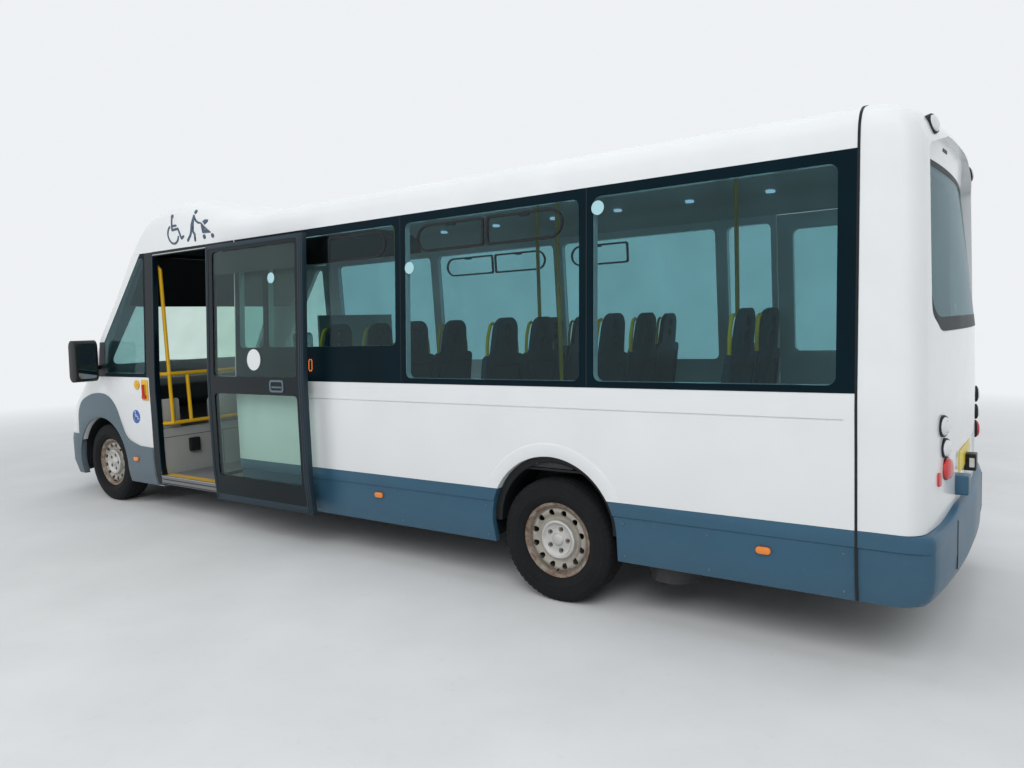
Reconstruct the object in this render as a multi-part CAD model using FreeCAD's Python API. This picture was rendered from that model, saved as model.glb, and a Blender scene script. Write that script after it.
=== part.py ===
import FreeCAD, Part
import math
import os
from FreeCAD import Vector

# Low-floor minibus, in millimetres.
# Everything is drawn in the body's own level frame: x is the station behind the front axle,
# y runs to the vehicle's right, z is the height over the ground at the rear axle.
# At the end the whole vehicle is pitched nose down about the rear axle, as it stands parked,
# and moved so that the origin lies on the ground under the middle of its length and width.

# Wheels and axles
wheel_base = 4930
front_overhang = 950
rear_overhang = 2020
rake_deg = 0.957
tyre_radius = 360
tyre_width = 225
wheel_centre_y = 940
rim_radius = 203
rim_width = 165
stub_radius = 26
stub_gap = 0.3
hub_radius = 72
king_pin_tilt_deg = 14
king_pin_foot_y = 880
king_pin_foot_drop = 120
king_pin_radius = 22
king_pin_length = 330
strut_radius = 25
spring_radius = 58
disc_inner_y = 975
stub_end_y = disc_inner_y + 12

rake = math.radians(rake_deg)
front_axle_x = wheel_base * (1 - math.cos(rake))
front_axle_z = tyre_radius + wheel_base * math.sin(rake)
rear_axle_x = wheel_base
rear_axle_z = tyre_radius
mid_length_x = (wheel_base + rear_overhang - front_overhang) / 2

# Body widths and heights
half_width = 1085
skirt_bottom_z = 305
skirt_top_z = 640
waist_z = 1255
cantrail_z = 2330
cantrail_lean = 58
floor_z = 400
floor_thickness = 40
wall = 45
skin = 30
glass = 6
joint_gap = 0.3

# Stations along the body
cab_end_x = 830
door_front_x = 920
door_rear_x = 2050
dome_top_x = 1250
dome_end_x = 2250
tail_joint_x = 6555
tail_start_x = 6400
tail_x = wheel_base + rear_overhang - 50

# The body's outline, level by level from the skirt's hem to the roof.
# Columns: height at the cab, nose station on the centre line, how far the nose is bowed back at
# its corners, corner radius, half width at the cab, height along the saloon, half width there,
# station of the tail, how far the tail is bowed, tail corner radius.
levels = [
    (skirt_bottom_z, -880, 120, 240, 1058, skirt_bottom_z, 1058, tail_x - 20, 70, 90),
    (430, -front_overhang, 130, 270, 1080, 430, 1080, tail_x, 70, 100),
    (skirt_top_z, -front_overhang, 130, 280, half_width, skirt_top_z, half_width, tail_x, 70, 100),
    (960, -870, 150, 290, half_width, 960, half_width, tail_x, 70, 100),
    (waist_z, -540, 130, 270, half_width, waist_z, half_width, tail_x, 70, 100),
    (cantrail_z, 360, 90, 200, half_width - cantrail_lean, cantrail_z, half_width - cantrail_lean,
     tail_x - 25, 60, 110),
    (2480, 490, 90, 200, 1012, 2415, 1018, tail_x - 40, 60, 115),
    (2595, 620, 90, 210, 985, 2475, 990, tail_x - 75, 60, 120),
    (2675, 770, 90, 220, 935, 2512, 945, tail_x - 120, 60, 130),
    (2722, 900, 60, 160, 860, 2535, 880, tail_x - 165, 60, 110),
    (2750, 1010, 40, 110, 700, 2560, 700, tail_x - 250, 30, 60),
]

# The rear window lies in a recess that deepens upward, under a hood with an arched edge.
# Outline seen from behind; then heights with the recess's depth there, below zero where it runs out.
recess_half = 915
recess_bottom_z = 1545
recess_side_top_z = 2330
recess_top_z = 2425
recess_crown_half = 480
recess_depths = [(1480, -5.5), (2305, 65), (2500, -36)]


def box(x0, x1, y0, y1, z0, z1):
    return Part.makeBox(x1 - x0, y1 - y0, z1 - z0, Vector(x0, y0, z0))


def cylinder(radius, start, end):
    return Part.makeCylinder(radius, (end - start).Length, start, end - start)


def mirrored(shape):
    return shape.mirror(Vector(0, 0, 0), Vector(0, 1, 0))


def fused(shapes):
    return shapes[0].multiFuse(shapes[1:]).removeSplitter()


def rounded_wire(corners, lift):
    """Closed wire through corners (u, v, radius); lift turns (u, v) into a point in space."""
    flat = [Vector(u, v, 0) for u, v, radius in corners]
    edges = []
    last_end = None
    first_start = None
    for i, (u, v, radius) in enumerate(corners):
        corner = flat[i]
        to_last = (flat[i - 1] - corner).normalize()
        to_next = (flat[(i + 1) % len(flat)] - corner).normalize()
        start = corner
        end = corner
        if radius > 0:
            half_angle = to_last.getAngle(to_next) / 2
            start = corner + to_last * (radius / math.tan(half_angle))
            end = corner + to_next * (radius / math.tan(half_angle))
            middle = corner + (to_last + to_next).normalize() * (radius / math.sin(half_angle) - radius)
        if last_end is not None and (start - last_end).Length > 0.001:
            edges.append(Part.LineSegment(lift(last_end), lift(start)).toShape())
        if radius > 0:
            edges.append(Part.Arc(lift(start), lift(middle), lift(end)).toShape())
        if first_start is None:
            first_start = start
        last_end = end
    if (first_start - last_end).Length > 0.001:
        edges.append(Part.LineSegment(lift(last_end), lift(first_start)).toShape())
    return Part.Wire(edges)


def side_prism(corners, y0, y1):
    """Outline of (x, z, radius) corners, run across the vehicle from y0 to y1."""
    wire = rounded_wire(corners, lambda p: Vector(p.x, y0, p.y))
    return Part.Face(wire).extrude(Vector(0, y1 - y0, 0))


def end_prism(corners, x0, x1):
    """Outline of (y, z, radius) corners, run along the vehicle from x0 to x1."""
    wire = rounded_wire(corners, lambda p: Vector(x0, p.x, p.y))
    return Part.Face(wire).extrude(Vector(x1 - x0, 0, 0))


def plan_prism(corners, z0, z1):
    """Outline of (x, y, radius) corners, raised from z0 to z1."""
    wire = rounded_wire(corners, lambda p: Vector(p.x, p.y, z0))
    return Part.Face(wire).extrude(Vector(0, 0, z1 - z0))


def window(x0, x1, z0, z1, radius):
    return [(x0, z0, radius), (x1, z0, radius), (x1, z1, radius), (x0, z1, radius)]


def inset_height(z, inset):
    """The roof comes down by the inset, the walls keep their levels."""
    share = max(0, z - cantrail_z) / (levels[-1][5] - cantrail_z)
    return z - inset * min(1, share)


def end_level_wire(z, end_x, bow, corner, half, back_x):
    """Level outline of a bowed end with round corners, closed by a straight line at back_x."""
    way = 1 if back_x > end_x else -1
    edge_x = end_x + way * bow
    side_x = edge_x + way * corner
    edge_y = half - corner
    mid_corner = corner * (1 - math.sqrt(0.5))
    points = {}
    for side in (-1, 1):
        points[side] = (
            Vector(back_x, side * half, z),
            Vector(side_x, side * half, z),
            Vector(edge_x + way * mid_corner, side * (half - mid_corner), z),
            Vector(edge_x, side * edge_y, z),
        )
    left = points[-1]
    right = points[1]
    edges = [
        Part.LineSegment(left[0], left[1]).toShape(),
        Part.Arc(left[1], left[2], left[3]).toShape(),
        Part.Arc(left[3], Vector(end_x, 0, z), right[3]).toShape(),
        Part.Arc(right[3], right[2], right[1]).toShape(),
        Part.LineSegment(right[1], right[0]).toShape(),
        Part.LineSegment(right[0], left[0]).toShape(),
    ]
    return Part.Wire(edges)


def nose_hull(inset):
    wires = []
    for z, nose, bow, corner, half, z2, half2, tail, tail_bow, tail_corner in levels:
        level = end_level_wire(inset_height(z, inset), nose + inset * 1.3, bow, corner,
                               half - inset, dome_top_x)
        wires.append(level)
    return Part.makeLoft(wires, True, True)


def level_row(z):
    """The columns of the levels at a height along the saloon, between two listed rows."""
    for low, high in zip(levels, levels[1:]):
        if z <= high[5]:
            share = (z - low[5]) / (high[5] - low[5])
            return [a + (b - a) * share for a, b in zip(low, high)]


def window_recess(inset):
    """What the rear window's recess takes out of the tail, for one inset of the skin."""
    half = recess_half + inset
    outline = [(-half, recess_bottom_z - inset, 120), (half, recess_bottom_z - inset, 120),
               (half, recess_side_top_z + inset, 50), (recess_crown_half, recess_top_z + inset, 250),
               (-recess_crown_half, recess_top_z + inset, 250), (-half, recess_side_top_z + inset, 50)]
    wires = []
    for z, depth in recess_depths:
        row = level_row(z)
        wires.append(end_level_wire(z, row[7] - depth - inset, row[8], row[9], row[6] - inset, tail_start_x))
    kept = Part.makeLoft(wires, True, True)
    return end_prism(outline, tail_start_x + 200, tail_x + 200).cut(kept)


def tail_hull(inset):
    wires = []
    for z, nose, bow, corner, half, z2, half2, tail, tail_bow, tail_corner in levels:
        level = end_level_wire(inset_height(z2, inset), tail - inset, tail_bow, tail_corner,
                               half2 - inset, tail_start_x)
        wires.append(level)
    return Part.makeLoft(wires, True, True).cut(window_recess(inset))


def section_wire(x, inset, at_cab):
    """Cross-section of the body at a station, as wide as the cab's dome or as the saloon."""
    right = []
    for z, nose, bow, corner, half, z2, half2, tail, tail_bow, tail_corner in levels:
        height = z if at_cab else z2
        width = half if at_cab else half2
        right.append((width - inset, inset_height(height, inset)))
    points = [Vector(x, y, z) for y, z in right]
    points += [Vector(x, -y, z) for y, z in reversed(right)]
    return Part.makePolygon(points + points[:1])


def dome_hull(inset):
    return Part.makeLoft([section_wire(dome_top_x, inset, True),
                          section_wire(dome_end_x, inset, False)], True, True)


def saloon_hull(inset):
    face = Part.Face(section_wire(dome_end_x, inset, False))
    return face.extrude(Vector(tail_start_x - dome_end_x, 0, 0))


# Columns: stretch of the body, its first and last station
stretches = [
    (nose_hull, -2000, dome_top_x), (dome_hull, dome_top_x, dome_end_x),
    (saloon_hull, dome_end_x, tail_start_x), (tail_hull, tail_start_x, 9000)]
made = {}


def layer(hull, outer, inner):
    """The body's skin between two insets, along one stretch."""
    key = (hull.__name__, outer, inner)
    if key not in made:
        made[key] = hull(outer).cut(hull(inner))
    return made[key]


def side_layer(outer, inner, x0, x1, z0, z1, side):
    """The skin between two insets, along one side wall."""
    y0, y1 = (-1300, -600) if side < 0 else (600, 1300)
    pieces = []
    for hull, start, end in stretches:
        low = max(x0, start)
        high = min(x1, end)
        if low < high:
            pieces.append(layer(hull, outer, inner).common(box(low, high, y0, y1, z0, z1)))
    return pieces[0] if len(pieces) == 1 else fused(pieces)

nodes = {}

# Windows of the saloon.
# Columns: first and last station of each bonded pane, then of the clear opening behind it.
pane_bottom_z = waist_z
pane_top_z = cantrail_z
opening_top_z = 2275
left_panes = [
    (2080, 3817, [(2135, 2420), (2485, 3775)]),
    (3823, 5187, [(3865, 5145)]),
    (5193, 6549, [(5235, 6510)]),
]
right_panes = [
    (960, 2347, [(1005, 2305)]),
    (2353, 3747, [(2395, 3705)]),
    (3753, 5187, [(3795, 5145)]),
    (5193, 5597, [(5235, 5560)]),
]
opening_bottom_z = 1290
window_radius = 40
left_blank_top_z = 1500

# Emergency door in the right side, behind the last right-hand seats
exit_front_x = 5606
exit_rear_x = 6246
exit_bottom_z = 650
exit_window = (5715, 6085, 1350, 2215)
exit_gap = 6
exit_bevel = 9.5

# Wheel arches: centre height in the body frame and radius of each opening
front_arch_radius = 430
rear_arch_radius = 417
rear_arch_z = 440
rear_arch_lip = 495
rear_arch_foot_half = 400
rear_lip_thickness = 5
skirt_crease_z = 560
skirt_crease = 6


def rear_arch_cut(y0, y1, radius, foot_half):
    """A round arch with nearly upright legs down to the hem."""
    drum = Part.makeCylinder(radius, y1 - y0, Vector(rear_axle_x, y0, rear_arch_z), Vector(0, 1, 0))
    legs = side_prism([
        (rear_axle_x - foot_half, skirt_bottom_z - 50, 0),
        (rear_axle_x + foot_half, skirt_bottom_z - 50, 0),
        (rear_axle_x + radius, rear_arch_z, 0),
        (rear_axle_x - radius, rear_arch_z, 0)], y0, y1)
    return drum.fuse(legs)


def front_arch_cut(y0, y1, radius):
    drum = Part.makeCylinder(radius, y1 - y0, Vector(front_axle_x - 30, y0, front_axle_z), Vector(0, 1, 0))
    legs = box(front_axle_x - 30 - radius, front_axle_x - 30 + radius, y0, y1,
               skirt_bottom_z - 100, front_axle_z)
    return drum.fuse(legs)


def side_panes(side, panes):
    pieces = []
    for x0, x1, openings in panes:
        pieces.append(side_layer(0, glass, x0, x1, pane_bottom_z + 1, pane_top_z - 1, side))
    return pieces


def saloon_wall(side, x0, x1, panes, panes_solids):
    """Side wall over the skirt: pillars, waist panel and the rebates that the panes sit in."""
    wall_solid = side_layer(0, wall, x0, x1, skirt_top_z, cantrail_z, side)
    y0, y1 = (-1200, -900) if side < 0 else (900, 1200)
    for first, last, openings in panes:
        for a, b in openings:
            bottom = left_blank_top_z if side < 0 and first < 3000 else opening_bottom_z
            wall_solid = wall_solid.cut(side_prism(window(a, b, bottom, opening_top_z, window_radius), y0, y1))
    wall_solid = wall_solid.cut(Part.makeCompound(panes_solids))
    lip = side_layer(-rear_lip_thickness, glass, rear_axle_x - rear_arch_lip, rear_axle_x + rear_arch_lip,
                     skirt_top_z, rear_arch_z + rear_arch_lip, side)
    lip = lip.common(rear_arch_cut(y0, y1, rear_arch_lip, rear_arch_lip))
    wall_solid = wall_solid.fuse(lip)
    return wall_solid.cut(rear_arch_cut(y0, y1, rear_arch_radius, rear_arch_foot_half))


left_glass = side_panes(-1, left_panes)
right_glass = side_panes(1, right_panes)

exit_cut = box(exit_front_x - exit_gap, exit_rear_x + exit_gap, 900, 1200, exit_bottom_z - exit_gap, cantrail_z)
nodes["side_left"] = saloon_wall(-1, door_rear_x + 20, tail_joint_x - joint_gap, left_panes, left_glass)
nodes["side_right"] = saloon_wall(1, cab_end_x + 100, tail_joint_x - joint_gap, right_panes,
                                  right_glass).cut(exit_cut)


def swing_bevel(rear_x, set_back, z0, z1):
    """What a hinged door loses at its rear edge, so that its inner corner swings clear."""
    return plan_prism([(rear_x, half_width - 25, 0), (rear_x + 50, half_width - 25, 0),
                       (rear_x + 50, half_width - 125, 0), (rear_x - set_back * 1.1, half_width - 125, 0)], z0, z1)


# Outside hinges with upright axes. Place: station and y of the axis; heights of each hinge's foot
hinge_radius = 8
hinge_length = 55
hinge_plate = 4
hinge_seat = 6
hinge_reach = 45
driver_hinge = (-3, half_width + 4)
driver_hinge_z = (820, 1150)
exit_hinge = (exit_front_x - exit_gap / 2, half_width + 4)
exit_hinge_z = (760, 1130)


def upright_hinge(place, z, leaf_half, reach):
    """One half of an outside hinge: a barrel on the axis and a strap flat on its own panel."""
    x, y = place
    low = z + (hinge_length + stub_gap if leaf_half else 0)
    barrel = Part.makeCylinder(hinge_radius, hinge_length, Vector(x, y, low))
    way = 1 if leaf_half else -1
    strap = box(*sorted((x, x + way * reach)), half_width - hinge_seat, half_width + hinge_plate, low, low + hinge_length)
    return barrel.fuse(strap)


def hinge_room(place, z):
    """The hollow that both barrels of a hinge turn in."""
    x, y = place
    half = hinge_radius + 3
    return box(x - half, x + half, y - half, y + half, z - 5, z + 2 * hinge_length + 5)


def hinged(panel, place, heights, leaf_half):
    for z in heights:
        panel = panel.cut(hinge_room(place, z))
    return panel.multiFuse([upright_hinge(place, z, leaf_half, hinge_reach) for z in heights])


def emergency_door():
    leaf = side_layer(0, wall, exit_front_x, exit_rear_x, exit_bottom_z, cantrail_z - exit_gap, 1)
    x0, x1, z0, z1 = exit_window
    pane = side_layer(0, glass, x0 - 40, x1 + 40, z0 - 40, z1 + 40, 1)
    leaf = leaf.cut(pane)
    leaf = leaf.cut(side_prism(window(x0, x1, z0, z1, window_radius), 900, 1200))
    leaf = leaf.cut(swing_bevel(exit_rear_x, exit_bevel, exit_bottom_z, cantrail_z))
    return hinged(leaf, exit_hinge, exit_hinge_z, True), pane


nodes["emergency_door"], nodes["emergency_door_glass"] = emergency_door()
nodes["side_right"] = hinged(nodes["side_right"], exit_hinge, exit_hinge_z, False)

# Cab: quarter window on the left, windscreen, display window over it
quarter_window = [
    (20, 1290, 30), (775, 1290, 30), (775, 2290, 30), (665, 2290, 30), (90, 1600, 60)]
quarter_pane = [
    (-20, waist_z + 1, 0), (800, waist_z + 1, 0), (800, cantrail_z - 1, 0), (640, cantrail_z - 1, 0),
    (20, 1590, 0)]
screen_bottom_z = 1290
screen_top_z = 2300
screen_half_bottom = 900
screen_half_top = 800
screen_edge = 60


def quarter_glass():
    band = layer(nose_hull, 0, glass).common(side_prism(quarter_pane, -1200, -900))
    return band


def windscreen_outline(by):
    return [
        (-screen_half_bottom - by, screen_bottom_z - by, 80), (screen_half_bottom + by, screen_bottom_z - by, 80),
        (screen_half_top + by, screen_top_z + by, 60), (-screen_half_top - by, screen_top_z + by, 60)]


display_bottom_z = 2380
display_top_z = 2600
display_half = 640


def display_outline(by):
    return window(-display_half - by, display_half + by, display_bottom_z - by, display_top_z + by, 40)


def front_panes():
    screen = layer(nose_hull, 0, glass).common(end_prism(windscreen_outline(0), -1200, dome_top_x - 300))
    display = layer(nose_hull, 0, glass).common(end_prism(display_outline(0), -1200, dome_top_x - 300))
    return screen, display


windscreen, display_pane = front_panes()
left_quarter = quarter_glass()
nodes["windscreen"] = Part.makeCompound([windscreen, display_pane])

# Bonnet, grille and lamps in the nose
bonnet_front_z = 975
bonnet_rear_x = -530
bonnet_half_front = 690
bonnet_half_rear = 720
panel_gap = 6
bumper_top_z = 700
bumper_rear_x = -435
lamp_bottom_z = 745
lamp_top_z = 965
lamp_inner_y = 560
lamp_outer_y = 960
grille_half = 500
grille_bottom_z = 760
grille_top_z = 930
intake_half = 560
intake_bottom_z = 400
intake_top_z = 560


def bonnet_block(by):
    """What the bonnet takes out of the nose: straight sides and a straight rear edge across."""
    return end_prism([
        (-bonnet_half_front - by, bonnet_front_z - by, 60), (bonnet_half_front + by, bonnet_front_z - by, 60),
        (bonnet_half_rear + by, 1400, 0), (-bonnet_half_rear - by, 1400, 0)], -1200, bonnet_rear_x + by)


def lamp_outline(side, by):
    inner = lamp_inner_y - by
    outer = lamp_outer_y + by
    low = lamp_bottom_z - by
    high = lamp_top_z + by
    corners = [(inner, low + 40, 40), (outer, low, 60), (outer, high, 60), (inner, high - 60, 40)]
    if side < 0:
        corners = [(-y, z, r) for y, z, r in reversed(corners)]
    return corners


front_cut_x = -300
bonnet_hinge = (bonnet_rear_x + panel_gap / 2, 1268)
bonnet_hinge_y = 150


def bonnet_hinges(leaf_half):
    """Barrels across the rear edge of the bonnet, with the block that carries each."""
    x, z = bonnet_hinge
    pieces = []
    for side in (-1, 1):
        y = side * bonnet_hinge_y + (stub_gap / 2 if leaf_half else -hinge_length - stub_gap / 2)
        pieces.append(Part.makeCylinder(hinge_radius, hinge_length, Vector(x, y, z), Vector(0, 1, 0)))
        x0, x1 = (x - 22, x) if leaf_half else (x, x + 14)
        pieces.append(box(x0, x1, y + 5, y + hinge_length - 5, z - 32, z - 2))
    return pieces


def bonnet_hinge_rooms():
    x, z = bonnet_hinge
    half = hinge_radius + 3
    reach = hinge_length + 5
    return [box(x - half, x + half, side * bonnet_hinge_y - reach, side * bonnet_hinge_y + reach, z - half, z + half)
            for side in (-1, 1)]


# Driver's door in the right side of the cab
driver_door_outline = [
    (0, 700, 100), (cab_end_x, 700, 60), (cab_end_x, cantrail_z - 20, 40), (652, cantrail_z - 20, 20),
    (0, 1440, 60)]
driver_door_gap = 6
driver_door_bevel = 7
driver_window_outline = [
    (110, 1290, 30), (cab_end_x - 70, 1290, 30), (cab_end_x - 70, cantrail_z - 75, 30),
    (662, cantrail_z - 75, 30), (120, 1560, 40)]


def outline_solid(corners, by, y0, y1):
    """A side outline grown by a distance on every side."""
    wire = rounded_wire([(u, v, 0) for u, v, r in corners], lambda p: Vector(p.x, y0, p.y))
    face = Part.Face(wire)
    if by:
        face = face.makeOffset2D(by, 2)
    return face.extrude(Vector(0, y1 - y0, 0))


def driver_door():
    area = layer(nose_hull, 0, wall).common(outline_solid(driver_door_outline, 0, 600, 1200))
    pane = layer(nose_hull, 0, glass).common(outline_solid(driver_window_outline, 25, 600, 1200))
    leaf = area.cut(pane).cut(side_prism(driver_window_outline, 600, 1200))
    leaf = leaf.cut(front_arch_cut(600, 1200, front_arch_radius + 35))
    leaf = leaf.cut(swing_bevel(cab_end_x, driver_door_bevel, skirt_top_z, cantrail_z))
    return hinged(leaf, driver_hinge, driver_hinge_z, True), pane


nodes["driver_door"], nodes["driver_door_glass"] = driver_door()


def cab_shell():
    region = fused([
        box(-1200, cab_end_x, -1200, 1200, skirt_top_z, cantrail_z),
        box(cab_end_x, cab_end_x + 100, 600, 1200, skirt_top_z, cantrail_z),
        box(cab_end_x, door_front_x, -1200, -600, skirt_bottom_z, cantrail_z)])
    shell = layer(nose_hull, 0, wall).common(region)
    shell = shell.cut(box(-1200, bumper_rear_x, -1200, 1200, skirt_bottom_z - 10, bumper_top_z))
    shell = shell.cut(windscreen).cut(left_quarter)
    shell = shell.cut(end_prism(windscreen_outline(-screen_edge), -1200, dome_top_x - 300))
    shell = shell.cut(side_prism(quarter_window, -1200, -900))
    shell = shell.cut(bonnet_block(panel_gap))
    for side in (-1, 1):
        shell = shell.cut(end_prism(lamp_outline(side, 0), -1200, front_cut_x))
        shell = shell.cut(front_arch_cut(*((600, 1200) if side > 0 else (-1200, -600)), front_arch_radius))
    shell = shell.cut(end_prism(window(-grille_half, grille_half, grille_bottom_z, grille_top_z, 30),
                                -1200, front_cut_x))
    shell = shell.cut(outline_solid(driver_door_outline, driver_door_gap, 600, 1200))
    shell = shell.cut(bonnet_hinge_rooms()).multiFuse(bonnet_hinges(False))
    return hinged(shell, driver_hinge, driver_hinge_z, False)


nodes["cab_shell"] = cab_shell()
bonnet_panel = layer(nose_hull, 0, skin).common(bonnet_block(0))
nodes["bonnet"] = bonnet_panel.cut(bonnet_hinge_rooms()).multiFuse(bonnet_hinges(True))
nodes["headlamps"] = Part.makeCompound([
    layer(nose_hull, 0, wall).common(end_prism(lamp_outline(side, 0), -1200, front_cut_x)) for side in (-1, 1)])


def slatted(outline, bar_count, z0, z1, half):
    """Grille insert: a frame of the skin's own curve, with level slots between its bars."""
    insert = layer(nose_hull, 0, skin).common(end_prism(outline, -1200, front_cut_x))
    pitch = (z1 - z0) / bar_count
    for i in range(bar_count):
        low = z0 + (i + 0.3) * pitch
        insert = insert.cut(end_prism(window(-half + 40, half - 40, low, low + pitch * 0.5, 8), -1200, front_cut_x))
    return insert


nodes["grille"] = Part.makeCompound([
    slatted(window(-grille_half, grille_half, grille_bottom_z, grille_top_z, 30), 4,
            grille_bottom_z, grille_top_z, grille_half),
    slatted(window(-intake_half, intake_half, intake_bottom_z, intake_top_z, 30), 4,
            intake_bottom_z, intake_top_z, intake_half)])


def front_bumper():
    shell = layer(nose_hull, 0, wall).common(box(-1200, bumper_rear_x, -1200, 1200, skirt_bottom_z, bumper_top_z))
    shell = shell.cut(end_prism(window(-intake_half, intake_half, intake_bottom_z, intake_top_z, 30),
                                -1200, front_cut_x))
    shell = shell.cut(cylinder(tow_hole_radius, Vector(-1100, tow_eye_y, tow_eye_z),
                               Vector(-700, tow_eye_y, tow_eye_z)))
    return shell.cut(front_arch_cut(-1200, 1200, front_arch_radius))


# Screw-in towing eye's socket behind the front bumper, on the right
tow_eye_y = 620
tow_eye_z = 480
tow_bore_radius = 11
tow_boss_radius = 24
tow_hole_radius = 30
tow_bore_depth = 90
nodes["front_bumper"] = front_bumper()


# Grey lower mouldings: front arch lips with the short front skirts, and the long side skirts
lip_thickness = 8
front_skirt_x = 395
front_lip = [
    (-460, 700, 0), (-430, 930, 60), (-300, 1045, 120), (-60, 1085, 200), (150, 1050, 200),
    (300, 900, 150), (420, 700, 150), (560, 645, 120), (cab_end_x, 636, 0),
    (cab_end_x, skirt_bottom_z, 0), (front_skirt_x, skirt_bottom_z, 0), (front_skirt_x, 420, 0), (0, 430, 0), (-460, 430, 0)]


def front_mouldings():
    pieces = []
    for side in (-1, 1):
        y0, y1 = (-1300, -600) if side < 0 else (600, 1300)
        lip = layer(nose_hull, -lip_thickness, 0).common(side_prism(front_lip, y0, y1))
        lip = lip.cut(front_arch_cut(y0, y1, front_arch_radius))
        if side > 0:
            lip = lip.cut(outline_solid(driver_door_outline, driver_door_gap, 600, 1300))
            lip = lip.cut(box(driver_hinge[0] - hinge_reach - 5, driver_hinge[0] + hinge_reach, y0, y1,
                              driver_hinge_z[0] - 8, driver_hinge_z[0] + 2 * hinge_length + 8))
        lip = lip.cut(box(-1200, bumper_rear_x + 2, y0, y1, 0, bumper_top_z))
        skirt = layer(nose_hull, 0, wall).common(box(front_skirt_x, cab_end_x - joint_gap, y0, y1,
                                                    skirt_bottom_z, skirt_top_z - joint_gap))
        skirt = skirt.cut(front_arch_cut(y0, y1, front_arch_radius))
        pieces.append(fused([lip, skirt]))
    return pieces


def long_skirts():
    pieces = []
    for side, start in ((-1, door_rear_x + 20), (1, cab_end_x + 6)):
        y0, y1 = (-1200, -900) if side < 0 else (900, 1200)
        skirt = side_layer(0, wall, start, tail_joint_x - joint_gap, skirt_bottom_z,
                           skirt_top_z - joint_gap, side)
        skirt = skirt.cut(side_layer(0, skirt_crease, start, tail_joint_x, skirt_bottom_z, skirt_crease_z, side))
        pieces.append(skirt.cut(rear_arch_cut(y0, y1, rear_arch_radius, rear_arch_foot_half)))
    return pieces


def solids_of(shapes):
    found = []
    for shape in shapes:
        found += [s for s in shape.Solids if s.Volume > 1000]
    return Part.makeCompound(found)


nodes["skirts"] = solids_of(front_mouldings() + long_skirts())

# Roof with the raised dome over the cab
nodes["roof"] = fused([
    layer(nose_hull, 0, wall).common(box(-500, dome_top_x, -1200, 1200, cantrail_z, 3000)),
    layer(dome_hull, 0, wall).common(box(dome_top_x, dome_end_x, -1200, 1200, cantrail_z, 3000)),
    layer(saloon_hull, 0, wall).common(box(dome_end_x, tail_start_x, -1200, 1200, cantrail_z, 3000)),
    layer(tail_hull, 0, wall).common(box(tail_start_x, tail_joint_x - joint_gap, -1200, 1200, cantrail_z, 3000)),
]).cut(display_pane).cut(end_prism(display_outline(-40), -1200, dome_top_x - 300))

# Tail: moulded white end with the rear window, grey bumper below
rear_window_z = (1570, 2285)
rear_window_edge = 20
rear_bumper_proud = 50
rear_window_half = 890
rear_bumper_top = [
    (-1200, skirt_top_z, 0), (-760, skirt_top_z, 60), (-620, 790, 60), (620, 790, 60),
    (760, skirt_top_z, 60), (1200, skirt_top_z, 0)]


def rear_window_outline(by):
    low, high = rear_window_z
    return window(-rear_window_half - by, rear_window_half + by, low - by, high + by, 110)


def bumper_region(gap):
    corners = [(y, z + gap, r) for y, z, r in rear_bumper_top]
    corners += [(1200, skirt_bottom_z - 10, 0), (-1200, skirt_bottom_z - 10, 0)]
    return end_prism(corners, tail_joint_x, 7200)


tail_panel = layer(tail_hull, 0, wall).common(box(tail_joint_x, 7200, -1300, 1300, skirt_bottom_z, 3000))
rear_pane = layer(tail_hull, 0, glass).common(end_prism(rear_window_outline(rear_window_edge), tail_joint_x + 150, 7200))
nodes["rear_shell"] = tail_panel.cut(bumper_region(joint_gap)).cut(rear_pane).cut(
    end_prism(rear_window_outline(0), tail_joint_x + 150, 7200))
bumper_sides = tail_panel.common(bumper_region(0)).cut(
    layer(tail_hull, 0, skirt_crease).common(box(tail_joint_x, 7200, -1300, 1300, skirt_bottom_z, skirt_crease_z)))
bumper_bulge = layer(tail_hull, -rear_bumper_proud, 10).common(bumper_region(0)).common(
    box(tail_x - 140, 7200, -1300, 1300, skirt_bottom_z + 15, 3000))
nodes["rear_bumper"] = fused([bumper_sides, bumper_bulge])

# Side glass, rear glass
nodes["side_glass"] = Part.makeCompound(left_glass + right_glass + [left_quarter])
nodes["rear_glass"] = rear_pane

# Lamps. Columns: station or None for the tail face, y, z, radius
lamp_thickness = 25
tail_lamps = [(790, 1090, 50), (790, 990, 45), (790, 895, 50), (840, 850, 22), (810, 2425, 45)]


def rear_lamps():
    pieces = []
    for y, z, radius in tail_lamps:
        for side in (-1, 1):
            rod = cylinder(radius, Vector(tail_x - 300, side * y, z), Vector(tail_x + 200, side * y, z))
            pieces.append(rod)
    return pieces


lamp_rods = rear_lamps()
lamp_seats = [rod.common(layer(tail_hull, -lamp_thickness, 0)) for rod in lamp_rods]
nodes["rear_lamps"] = solids_of(lamp_seats)

marker_stations = [(560, 525), (3570, 500), (6140, 490)]
marker_half = (36, 18)
marker_proud = 16


def markers():
    pieces = []
    for x, z in marker_stations:
        seat = -lip_thickness if x < cab_end_x else skirt_crease
        for side in (-1, 1):
            y0, y1 = (-1300, -900) if side < 0 else (900, 1300)
            outline = window(x - marker_half[0], x + marker_half[0], z - marker_half[1], z + marker_half[1], 17)
            band = side_layer(seat - marker_proud, seat, x - 50, x + 50, z - 30, z + 30, side)
            pieces.append(band.common(side_prism(outline, y0, y1)))
    return pieces


nodes["marker_lamps"] = solids_of(markers())

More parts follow.
